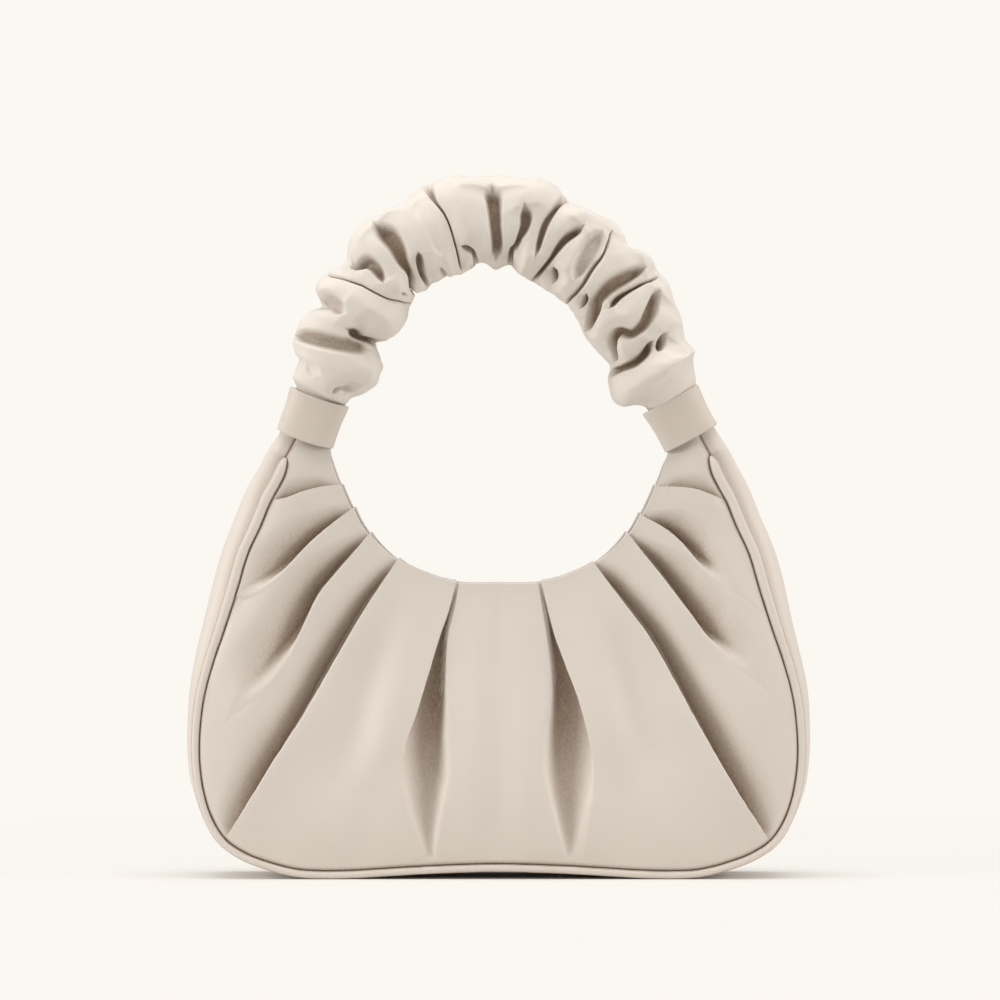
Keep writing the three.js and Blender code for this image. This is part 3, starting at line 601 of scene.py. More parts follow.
@dataclass(frozen=True)
class Pleat:
    """A folded edge that laps over a trough.

    Rows run from the mouth outwards: x, z, how deep the trough is beside the edge, how wide the
    trough is, how far the folded edge stands proud, and over how much the edge is rounded.
    outward says on which side of the edge the trough lies: away from the middle or towards it.
    far is for a trough that is deepest at its far side, where it climbs steeply.
    """

    side: Side
    outward: bool
    table: np.ndarray
    far: bool = False
    step: float = 0.6

    @property
    def turn(self) -> int:
        """1 where the trough lies towards +X of the edge as the mouth is followed, else -1."""
        return self.side.value * (1 if self.outward else -1)

    def line(self) -> np.ndarray:
        """Close points of the folded edge: x, 0, z, depth, width, crown and softness."""
        table = self.table
        points = np.stack([table[:, 0], 0 * table[:, 0], table[:, 1], *table[:, 2:].T], 1)
        return Curve(points, 10).samples

    def field(self, x: np.ndarray, z: np.ndarray, over: np.ndarray, q: np.ndarray) -> dict:
        """What the pleat does to a face that is seen square on.

        With n the distance from the folded edge: the lap stands proud by crown * exp(-(n/10)^2),
        and the trough lies deeper by depth * f(n / width), where f falls from 1 to 0 along a
        power curve, or rises to its far side first. At the edge the leather turns from the lap at
        q = -1 to the trough's floor at q = 1: it sinks by a soft step of q and moves sideways by
        a*q - b*(sin(pi*q) + 0.6*(1 - q^2)), which hangs the lap over the trough.

        Args:
            x: places along the bag.
            z: heights.
            over: 1 over the trough and -1 on the lap, for each column of the face.
            q: how far round the folded edge each column lies, and 0 off the edge.

        Returns:
            proud, aside (a pair for x and z), inner (the same for the inner face), deep from 0
            to 1, and lift, which steps the mouth's edge.
        """
        line = self.line()
        a, step = line[:-1], np.diff(line, axis=0)
        reach = 34.0
        near = np.flatnonzero(
            (x.ravel() > line[:, 0].min() - reach) & (x.ravel() < line[:, 0].max() + reach)
        )
        q_all, over_all = (np.broadcast_to(w, x.shape).ravel()[near] for w in (q, over))
        p = np.stack([x.ravel(), z.ravel()], 1)[near]
        d = step[:, [0, 2]]
        size = (d**2).sum(1)
        rest = p[:, None] - a[None][:, :, [0, 2]]
        t = (rest * d).sum(2) / size
        inside = np.clip(t, 0, 1)
        k = ((rest - inside[..., None] * d) ** 2).sum(2).argmin(1)
        pick = np.arange(len(k))
        t, inside = t[pick, k], inside[pick, k]
        depth, width, crown, soft = (a[k, 3:] + inside[:, None] * step[k, 3:]).T
        ahead = d[k] / np.sqrt(size[k])[:, None]
        aside = self.turn * np.stack([-ahead[:, 1], ahead[:, 0]], 1)
        aside *= np.where(aside[:, :1] * self.turn < 0, -1, 1)
        n = np.abs((rest[pick, k] * aside).sum(1))
        past = np.where((k == len(size) - 1) & (t > 1), (t - 1) * np.sqrt(size[-1]), 0.0)
        live = np.exp(-((past / 7.0) ** 2))
        depth, crown = depth * live, crown * live
        crisp = np.clip((2.6 - soft) / 2.1, 0, 1)
        edge = over_all == 0
        u = np.clip(n / width, 0, 1.3)
        if self.far:
            start = 0.1 + 0.62 * crisp
            floor = start + (1 - start) * np.sin(np.pi / 2 * np.clip(u / 0.74, 0, 1))
            f = floor * (1 - smooth((u - 0.78) / 0.4))
        else:
            start = 1.0
            f = np.clip(1 - u, 0, 1) ** 1.6
        high = depth * start + crown
        whole_turn = np.clip((q_all + 1) / 2, 0, 1)
        sink = smooth((q_all + 0.8) / 1.6)
        if self.far:
            sink = crisp * sink + (1 - crisp) * whole_turn**2
        lap = crown * np.exp(-((n / 10.0) ** 2))
        proud = np.where(edge, crown - high * sink, np.where(over_all > 0, -depth * f, lap))
        spread = np.maximum(0.2 + 0.05 * np.minimum(high, 10), soft * (0.8 if self.far else 1.2))
        spread = 0.15 + (spread - 0.15) * live
        hang = np.clip(0.17 * high, 0, 1.7) * crisp
        fade = np.exp(-n / (2 * spread + 2))
        outside = over_all * spread * fade
        back = hang * (np.sin(np.pi * q_all) + 0.6 * (1 - q_all**2))
        across = np.where(edge, (spread * q_all - back) * fade, outside)
        tight = np.clip(high / 4, 0, 1) * 2.2 * np.exp(-n / 4.0)
        inner = np.where(edge, spread * q_all * fade, outside) - tight
        # Painted shade: darkest in the trough beside the folded edge and under it.
        deep = np.where(edge, sink * start, np.where(over_all > 0, f, 0.0))
        deep = deep * np.clip(depth / 7.5, 0, 1) * ((0.36 + 0.6 * crisp) if self.far else 0.95)
        lift = np.where(edge, 1 - 1.4 * sink, np.where(over_all > 0, -0.4, 1.0)) * np.exp(-n / 8.0)
        parts = {
            "proud": proud,
            "aside_x": across * aside[:, 0],
            "aside_z": across * aside[:, 1],
            "inner_x": inner * aside[:, 0],
            "inner_z": inner * aside[:, 1],
            "deep": deep,
            "lift": lift * self.step * live,
        }
        whole = {}
        for name, part in parts.items():
            whole[name] = np.zeros(x.size)
            whole[name][near] = part
            whole[name] = whole[name].reshape(x.shape)
        return whole


def pleats() -> list[Pleat]:
    """The ten pleats of a face, ordered from -X to +X, as the front is seen."""
    left, right = Side.LEFT, Side.RIGHT
    first = Pleat(left, True, rows(
        (-67.1, 164.1, 1.2, 3.5, 0.6, 0.4),
        (-74.0, 163.3, 2.6, 5.5, 0.9, 0.4),
        (-82.0, 161.2, 3.4, 7, 1.0, 0.4),
        (-89.0, 158.6, 3.4, 7.5, 0.8, 0.4),
        (-94.6, 157.7, 2.6, 6, 0.5, 0.4),
    ))
    second = Pleat(left, True, rows(
        (-62.0, 153.7, 2.0, 4, 0.7, 0.4),
        (-70.0, 147.3, 5.4, 9, 1.2, 0.4),
        (-78.0, 140.3, 7.4, 14, 1.4, 0.5),
        (-86.0, 132.3, 7.2, 17, 1.2, 0.8),
        (-93.5, 126.2, 4.8, 17, 0.6, 1.6),
        (-101.0, 121.3, 2.0, 12, 0.2, 2.4),
        (-109.0, 117.8, 0.2, 8, 0.0, 2.4),
    ))
    third = Pleat(left, True, rows(
        (-55.0, 142.6, 2.0, 4, 0.7, 0.4),
        (-61.0, 135.0, 6.0, 9, 1.3, 0.4),
        (-68.0, 126.6, 9.0, 14, 1.6, 0.4),
        (-74.5, 118.6, 10.0, 17, 1.6, 0.5),
        (-80.5, 107.6, 9.2, 20, 1.2, 0.9),
        (-86.0, 98.3, 7.0, 21, 0.7, 1.8),
        (-92.0, 90.3, 4.8, 21, 0.3, 2.6),
        (-100.0, 80.8, 2.2, 19, 0.1, 3.0),
        (-107.0, 74.5, 0.2, 12, 0.0, 2.6),
    ))
    fourth = Pleat(left, True, rows(
        (-42.8, 132.1, 2.0, 4, 0.7, 0.4),
        (-49.5, 121.3, 6.5, 9, 1.3, 0.4),
        (-56.3, 110.6, 10.0, 12, 1.8, 0.4),
        (-69.0, 88.9, 12.5, 15, 2.2, 0.4),
        (-81.8, 67.2, 11.5, 15.5, 2.0, 0.4),
        (-94.6, 46.7, 8.4, 15, 1.6, 0.4),
        (-107.4, 26.3, 4.6, 11, 1.0, 0.4),
        (-113.8, 16.7, 1.2, 5, 0.4, 0.4),
    ))
    fifth = Pleat(left, False, rows(
        (-17.9, 122.8, 1.2, 1.2, 0.5, 0.4),
        (-21.2, 110.6, 3.8, 1.8, 0.9, 0.4),
        (-24.4, 102.0, 7.5, 2.8, 1.2, 0.4),
        (-29.2, 86.8, 11.5, 6.6, 1.5, 0.5),
        (-34.2, 69.6, 12.0, 11.4, 1.3, 0.8),
        (-38.2, 55.9, 11.0, 15.2, 0.8, 1.5),
        (-39.8, 41.0, 9.0, 16.4, 0.4, 2.1),
        (-37.6, 26.0, 6.2, 12.6, 0.2, 2.4),
        (-32.4, 10.0, 1.6, 5.6, 0.0, 2.2),
        (-29.6, 4.8, 0.2, 4, 0.0, 1.5),
    ), True, 0.4)
    sixth = Pleat(right, False, rows(
        (18.0, 123.4, 1.2, 1.2, 0.5, 0.4),
        (21.0, 111.0, 3.8, 1.8, 0.9, 0.4),
        (23.8, 101.2, 7.5, 2.9, 1.2, 0.4),
        (29.0, 87.5, 11.0, 6.4, 1.5, 0.5),
        (33.6, 75.0, 12.0, 11.0, 1.4, 0.7),
        (36.8, 62.0, 11.6, 15.0, 1.1, 1.1),
        (38.5, 50.0, 10.6, 16.8, 0.7, 1.7),
        (38.4, 37.0, 9.0, 15.8, 0.4, 2.1),
        (36.4, 21.0, 5.6, 10.8, 0.2, 2.4),
        (33.2, 7.5, 0.5, 5, 0.0, 1.8),
    ), True, 0.4)
    seventh = Pleat(right, True, rows(
        (40.0, 131.6, 2.0, 4, 0.7, 0.4),
        (45.2, 123.8, 6.0, 9, 1.3, 0.4),
        (51.0, 115.9, 9.0, 11, 1.7, 0.4),
        (62.6, 100.4, 11.8, 14, 2.1, 0.4),
        (73.6, 81.2, 12.5, 15.5, 2.2, 0.4),
        (84.3, 61.6, 12.0, 17, 2.2, 0.4),
        (97.7, 38.3, 8.4, 16.5, 1.7, 0.4),
        (107.2, 24.0, 4.4, 11, 1.0, 0.4),
        (113.0, 15.8, 1.2, 5, 0.4, 0.4),
    ))
    eighth = Pleat(right, True, rows(
        (56.3, 141.2, 2.0, 4, 0.7, 0.4),
        (61.5, 134.0, 6.4, 9.5, 1.3, 0.4),
        (67.8, 125.9, 9.8, 15, 1.6, 0.4),
        (78.4, 112.3, 10.6, 18, 1.6, 0.5),
        (86.0, 102.6, 7.8, 18, 1.0, 1.1),
        (92.5, 97.2, 4.2, 15, 0.4, 2.2),
        (99.5, 91.5, 1.5, 13, 0.1, 2.8),
        (104.5, 87.5, 0.2, 7, 0.0, 2.2),
    ))
    ninth = Pleat(right, True, rows(
        (62.4, 149.9, 2.0, 4, 0.7, 0.4),
        (67.4, 147.0, 5.2, 8.5, 1.2, 0.4),
        (72.6, 143.2, 7.6, 13, 1.4, 0.4),
        (80.2, 135.7, 7.8, 14, 1.1, 0.8),
        (85.4, 131.0, 4.6, 11, 0.5, 1.7),
        (90.5, 126.8, 1.4, 8, 0.1, 2.4),
        (94.5, 123.8, 0.2, 5, 0.0, 2.0),
    ))
    tenth = Pleat(right, True, rows(
        (68.9, 163.3, 1.2, 3.5, 0.6, 0.4),
        (75.0, 163.2, 2.6, 5.5, 0.9, 0.4),
        (81.7, 162.4, 3.4, 7, 1.0, 0.4),
        (89.0, 160.0, 3.2, 7.5, 0.8, 0.4),
        (95.7, 157.3, 2.4, 6, 0.5, 0.4),
    ))
    return [first, second, third, fourth, fifth, sixth, seventh, eighth, ninth, tenth]


# Soft swells and hollows between the pleats: x and z of both ends, height and half width
SWELLS = rows(
    (-9.0, 112.0, -11.0, 12.0, 1.1, 6.0),
    (10.0, 112.0, 12.0, 12.0, 1.1, 6.0),
    (0.3, 123.0, 0.3, 84.0, -0.5, 2.4),
    (0.0, 70.0, -1.0, 14.0, -0.7, 6.0),
    (-36.0, 112.0, -52.0, 44.0, 2.4, 7.5),
    (36.0, 112.0, 50.0, 48.0, 2.4, 7.5),
    (-50.0, 92.0, -70.0, 34.0, -1.7, 8.0),
    (49.0, 94.0, 68.0, 36.0, -1.7, 8.0),
    (-52.0, 44.0, -56.0, 10.0, -0.8, 7.0),
    (51.0, 48.0, 56.0, 10.0, -0.8, 7.0),
    (-98.0, 100.0, -112.0, 46.0, 1.2, 8.0),
    (98.0, 100.0, 112.0, 46.0, 1.2, 8.0),
)


@dataclass
class Panel:
    """A pleated panel: front or back.

    Its grid has columns from the mouth to the seam and rows across them. The columns are bent so
    that each folded edge follows one of them, and a few stand there for the turn of the leather.
    """

    face: Face
    edges: BodyEdges
    spacing: float = 1.3
    turns: int = 13
    lines: int = 128
    inner_lines: int = 22

    def _rays(self, share: np.ndarray) -> tuple[np.ndarray, np.ndarray, dict[str, np.ndarray]]:
        """The straight rays from the mouth's edge to the seam.

        Args:
            share: signed shares of half the seam.

        Returns:
            Where each ray starts and ends, and what the seam has there.
        """
        seam = self.edges.seam_at(share)
        rim = seam["point"] - seam["normal"] * seam["room"][..., None]
        rim = rim + np.array([0.0, -LEATHER / 2, 0.0])
        return self.edges.mouth_at(self.edges.mouth_share(share)), rim, seam

    def _edge_share(self, pleat: Pleat, v: np.ndarray) -> np.ndarray:
        """The share of the ray on which a pleat's edge lies, at each row."""
        share = np.linspace(-1, 1, 2401)
        start, rim, _ = self._rays(share)
        start, ray = start[:, [0, 2]], (rim - start)[:, [0, 2]]
        line = pleat.line()[:, [0, 2]]
        rest = line[:, None] - start[None]
        size = (ray**2).sum(1)
        along = (rest * ray).sum(2) / size
        miss = np.abs(rest[..., 0] * ray[:, 1] - rest[..., 1] * ray[:, 0]) / np.sqrt(size)
        miss = miss + 99.0 * ((along < -0.06) | (along > 1.06) | (share * pleat.side.value < 0))
        best = miss.argmin(1)
        found = along[np.arange(len(line)), best]
        order = np.argsort(found)
        return np.interp(v, found[order], share[best][order])

    def _columns(self, v: np.ndarray, folds: list[Pleat]) -> tuple[np.ndarray, np.ndarray, list]:
        """Lays out the columns.

        Args:
            v: the rows, from 0 at the mouth to 1 at the seam.
            folds: the pleats, ordered from -X to +X.

        Returns:
            The share of each column at each row, how far round a folded edge each column lies,
            and for each pleat on which side of it each column lies.
        """
        knots = np.stack([self._edge_share(p, v) for p in folds])
        ends = np.ones((1, len(v)))
        knots = np.vstack([-ends, knots, ends])
        gap = np.diff(knots, axis=0)
        log.info("narrowest gap between two pleats: %.4f", gap.min())
        columns, q, place = [], [], []
        for k in range(len(knots) - 1):
            wide = gap[k].mean() * 300
            count = max(16, int(wide / self.spacing))
            t = (np.arange(count) + 0.5) / count
            t = t - 0.11 * np.sin(2 * np.pi * t)
            columns.append(knots[k] + t[:, None] * gap[k])
            q.append(np.zeros(count))
            place.append(np.full(count, k + 0.5))
            if k + 1 < len(knots) - 1:
                turn = folds[k].turn * np.linspace(-1, 1, self.turns)
                columns.append(np.repeat(knots[k + 1][None], self.turns, 0))
                q.append(turn)
                place.append(np.full(self.turns, k + 1.0))
        place = np.concatenate(place)
        sides = [np.sign(place - (k + 1)) * fold.turn for k, fold in enumerate(folds)]
        share = np.vstack([-ends, *columns, ends])
        pad = [0.0]
        q = np.concatenate([pad, *q, pad])
        sides = [np.concatenate([[-p.turn], side, [p.turn]]) for p, side in zip(folds, sides)]
        return share, q, sides

    def _sheets(self) -> tuple[np.ndarray, np.ndarray, np.ndarray, np.ndarray]:
        """The outer face: rays from the mouth's edge to the seam, puffed, with the pleats.

        Returns:
            The outer face, the inner face, how deep in a fold each point lies (painted shade in the pleats' troughs and
            in the groove along the piping), and the direction in which the mouth's edge points.
        """
        v = np.linspace(0, 1, self.lines)
        v = v - 0.035 * np.sin(2 * np.pi * v)
        folds = pleats()
        share, q, sides = self._columns(v, folds)
        start, rim, seam = self._rays(share)
        flat = start + (rim - start) * v[None, :, None]
        ray = np.linalg.norm(rim - start, axis=-1)
        up = (start - rim) * np.array([1.0, 0.0, 1.0])
        up /= np.linalg.norm(up, axis=-1, keepdims=True)
        puff = seam["puff"] * np.sin(np.pi * np.clip(v, 0, 1) ** 1.8).clip(0) ** 0.8
        x, z = flat[..., 0], flat[..., 2]
        total = {}
        for pleat, over in zip(folds, sides):
            for name, part in pleat.field(x, z, over[:, None], q[:, None]).items():
                known = total.get(name, np.zeros(x.shape))
                total[name] = np.maximum(known, part) if name == "deep" else known + part
        proud = total["proud"]
        for x0, z0, x1, z1, height, width in SWELLS:
            d = np.array([x1 - x0, z1 - z0])
            t = np.clip(((x - x0) * d[0] + (z - z0) * d[1]) / (d @ d), 0, 1)
            away = np.hypot(x - x0 - t * d[0], z - z0 - t * d[1])
            proud = proud + height * np.exp(-((away / width) ** 2)) * np.sin(np.pi * (0.1 + 0.8 * t))
        proud = proud + 0.28 * ripples(x, z, 46.0, 11) + 0.07 * ripples(x, z, 17.0, 12)
        below = v * ray
        hold = smooth((1 - v) * ray / 5.5) * (0.5 + 0.5 * smooth(below / 9.0))
        hold = hold * smooth((0.985 - np.abs(share)) / 0.03)
        groove = np.clip(1 - (1 - v) * ray / 1.7, 0, 1)
        tuck = 1.35 * groove**2
        lift = total["lift"] * np.exp(-((below / 6.0) ** 2)) * smooth((0.95 - np.abs(share)) / 0.05)
        body = flat + up * lift[..., None]
        body[..., 1] -= puff + proud * hold - tuck
        outer, inner = body.copy(), body.copy()
        outer[..., 0] += total["aside_x"] * hold
        outer[..., 2] += total["aside_z"] * hold
        inner[..., 0] += total["inner_x"] * hold
        inner[..., 2] += total["inner_z"] * hold
        inner[..., 1] += LEATHER
        # The third value is painted shade: in the pleats' troughs, and in the groove along the piping.
        return outer, inner, np.maximum(total["deep"] * hold, 0.8 * groove), up[:, :1]

    def build(self) -> bpy.types.Object:
        """Makes the panel as one closed wall with a rounded edge at the mouth.

        Each loop runs down the outer face, back up the inner one, and round the mouth's edge on
        half a circle.

        Returns:
            The panel.
        """
        outer, inner, crease, up = self._sheets()
        pick = np.round(np.linspace(self.lines - 1, 0, self.inner_lines)).astype(int)
        turn = np.linspace(0, np.pi, 9)[1:-1][None, :, None]
        low, high = inner[:, :1], outer[:, :1]
        lip = (low + high) / 2 + np.cos(turn) * (low - high) / 2 + np.sin(turn) * up * LEATHER / 2
        grid = np.concatenate([outer, inner[:, pick], lip], 1)
        if self.face is Face.BACK:
            place = np.exp(-(((np.abs(grid[..., 0]) - 60) / 16) ** 2))
            near = np.clip(1 - np.linalg.norm(grid - grid[:, :1], axis=-1) / 14, 0, 1)
            grid = grid + (up * 0.9) * (place * near)[..., None]
            grid[..., 1] *= -1
        extra = np.zeros((len(grid), grid.shape[1] - self.lines))
        name = "front_panel_leather" if self.face is Face.FRONT else "back_panel_leather"
        return solid_from_loops(name, grid, crease=np.concatenate([crease, extra], 1))


@dataclass
class Gusset:
    """The strip that forms both sides and the base."""

    edges: BodyEdges
    stations: int = 620
    lines: int = 41

    def build(self) -> bpy.types.Object:
        """Makes the strip: a section that swells by bulge * (1 - |t|^2.4)^0.6 between the seams.

        The base is flat on the floor, and slow waves run along the sides.

        Returns:
            The gusset.
        """
        share = np.linspace(-1, 1, self.stations)[:, None]
        seam = self.edges.seam_at(share)
        t = np.sin(np.linspace(-np.pi / 2, np.pi / 2, self.lines))[None]
        half = -seam["point"][..., 1] - seam["room"]
        swell = seam["bulge"] * np.clip(1 - np.abs(t) ** 2.4, 0, 1) ** 0.6
        height = seam["point"][..., 2]
        waves = ripples(share * 300, t * half, 52.0, 21) * 0.45 * smooth((height - 14) / 30)
        waves = waves * (1 - t**2) * smooth((0.93 - np.abs(share)) / 0.1)
        place = seam["point"] * np.array([1.0, 0.0, 1.0])
        depth = np.zeros(3) + np.array([0.0, 1.0, 0.0])
        reach = (LEATHER / 2 + swell + waves)[..., None]
        outer = place + depth * (t * half)[..., None] + seam["normal"] * reach
        outer[..., 2] = np.maximum(outer[..., 2], 0.05)
        slim = np.clip(half - LEATHER, 0.6, None)
        inner = place + depth * (t[:, ::-1] * slim)[..., None]
        inner = inner + seam["normal"] * (reach - 2 * LEATHER / 2)[:, ::-1]
        # Painted shade along both edges of the strip, beside the piping.
        edge = 0.25 * smooth((np.abs(t) - 0.8) / 0.2) * np.ones((self.stations, 1))
        shade = np.concatenate([edge, 0 * edge], 1)
        return solid_from_loops("gusset_leather", np.concatenate([outer, inner], 1), crease=shade)


@dataclass
class Piping:
    """The rolled welt in one seam."""

    face: Face
    edges: BodyEdges
    stations: int = 760
    sides: int = 20

    def build(self) -> bpy.types.Object:
        """Makes the welt: a circle carried along the seam, drawn to a tip at each end.

        Returns:
            The welt.
        """
        end = self.edges.piping_end * 0.9995
        share = end * np.sin(np.linspace(-1, 1, self.stations) * np.pi / 2 * 0.97) / math.sin(
            np.pi / 2 * 0.97
        )
        share = 0.5 * share + 0.5 * np.linspace(-end, end, self.stations)
        seam = self.edges.seam_at(share[:, None])
        angle = np.linspace(0, 2 * np.pi, self.sides, endpoint=False)[None, :, None]
        radius = np.maximum(seam["radius"], 0.12)[..., None]
        radius = radius * (1 + 0.02 * ripples(share[:, None] * 300, angle[..., 0], 9.0, 31))[..., None]
        grid = seam["point"] + radius * (
            np.cos(angle) * seam["normal"] + np.sin(angle) * np.array([0.0, 1.0, 0.0])
        )
        grid[..., 2] = np.maximum(grid[..., 2], 0.05)
        if self.face is Face.BACK:
            grid = grid * np.array([1.0, -1.0, 1.0])
        name = "piping_roll_front" if self.face is Face.FRONT else "piping_roll_back"
        # Painted shade on the welt's sides that sink into the groove beside the panel and the gusset.
        groove_shade = 0.8 * smooth((np.abs(np.cos(angle[..., 0])) - 0.6) / 0.4) + 0 * radius[..., 0]
        return solid_from_loops(name, grid, crease=groove_shade)


# The handle


GIRTH = 16.5
HALF_SLEEVE = 19.5


@dataclass(frozen=True)
class Gather:
    """A crease of the gathered sleeve.

    Rows run across the sleeve: how far out from its middle, as it is seen from the front, the
    place along the handle and half the valley's width. Beyond HALF_SLEEVE the rows go on round
    the edge. lap draws the wall of one side over the valley: above 0 that towards the right
    keeper. behind puts the crease on the back.
    """

    table: np.ndarray
    depth: float
    lap: float = 0.0
    behind: bool = False

    def line(self) -> Curve:
        """The crease on the unrolled sleeve: girth, place, 0 and half width."""
        out, place, half = self.table.T
        turn = np.arcsin(np.clip(out / HALF_SLEEVE, -1, 1))
        turn = turn + np.sign(out) * np.clip(np.abs(out) - HALF_SLEEVE, 0, None) * 0.06
        turn = np.pi - turn if self.behind else turn
        return Curve(np.stack([turn * GIRTH, place, 0 * place, half], 1), 8)

    def field(self, s: np.ndarray, angle: np.ndarray) -> tuple[np.ndarray, np.ndarray]:
        """How deep the crease cuts and how far it draws its walls over itself.

        With x the distance from the crease on the unrolled sleeve, and h half its width, which
        narrows to a round tip: depth times a steep wall from 0.45h outwards, mixed with a
        broad dip exp(-(x/(4.2+1.5h))^2).

        Args:
            s: places along the handle.
            angle: angles round it, in radians.

        Returns:
            The cut, and the shift along the handle.
        """
        line = self.line()
        a, step = line.samples[:-1], np.diff(line.samples, axis=0)
        middle = line.samples[:, 0].mean() / GIRTH
        girth = ((angle - middle + np.pi) % (2 * np.pi) - np.pi + middle) * GIRTH
        girth, s = np.broadcast_arrays(girth, s)
        near = np.flatnonzero(
            (s.ravel() > a[:, 1].min() - 13) & (s.ravel() < a[:, 1].max() + 13)
        )
        p = np.stack([girth.ravel()[near], s.ravel()[near]], 1)
        size = (step[:, :2] ** 2).sum(1) + 1e-9
        rest = p[:, None] - a[None, :, :2]
        t = np.clip((rest * step[:, :2]).sum(2) / size, 0, 1)
        miss = np.hypot(*np.moveaxis(rest - t[..., None] * step[:, :2], 2, 0))
        k = miss.argmin(1)
        pick = np.arange(len(k))
        x, t = miss[pick, k], t[pick, k]
        side = np.sign(p[:, 1] - a[k, 1] - t * step[k, 1])
        travelled = line.along[k] + t * np.sqrt(size[k])
        tip = np.clip(np.minimum(travelled, line.length - travelled) / 4.0, 0, 1)
        tip = np.sqrt(tip * (2 - tip))
        half = (1.35 * (a[k, 3] + t * step[k, 3]) + 0.15) * (0.45 + 0.55 * tip)
        depth = self.depth * (0.55 + 0.45 * tip)
        steep = 1 - smooth((x - 0.45 * half) / (0.75 * half + 0.3))
        broad = np.exp(-((x / (4.2 + 1.5 * half)) ** 2))
        rim = x / (1.2 * half)
        rim = rim * np.exp(1 - rim)
        over = 0.05 * depth + np.where(side == np.sign(self.lap), abs(self.lap), 0.0)
        cut, shift = np.zeros(s.size), np.zeros(s.size)
        cut[near] = depth * (0.6 * steep + 0.4 * broad)
        shift[near] = -side * over * rim
        return cut.reshape(s.shape), shift.reshape(s.shape)


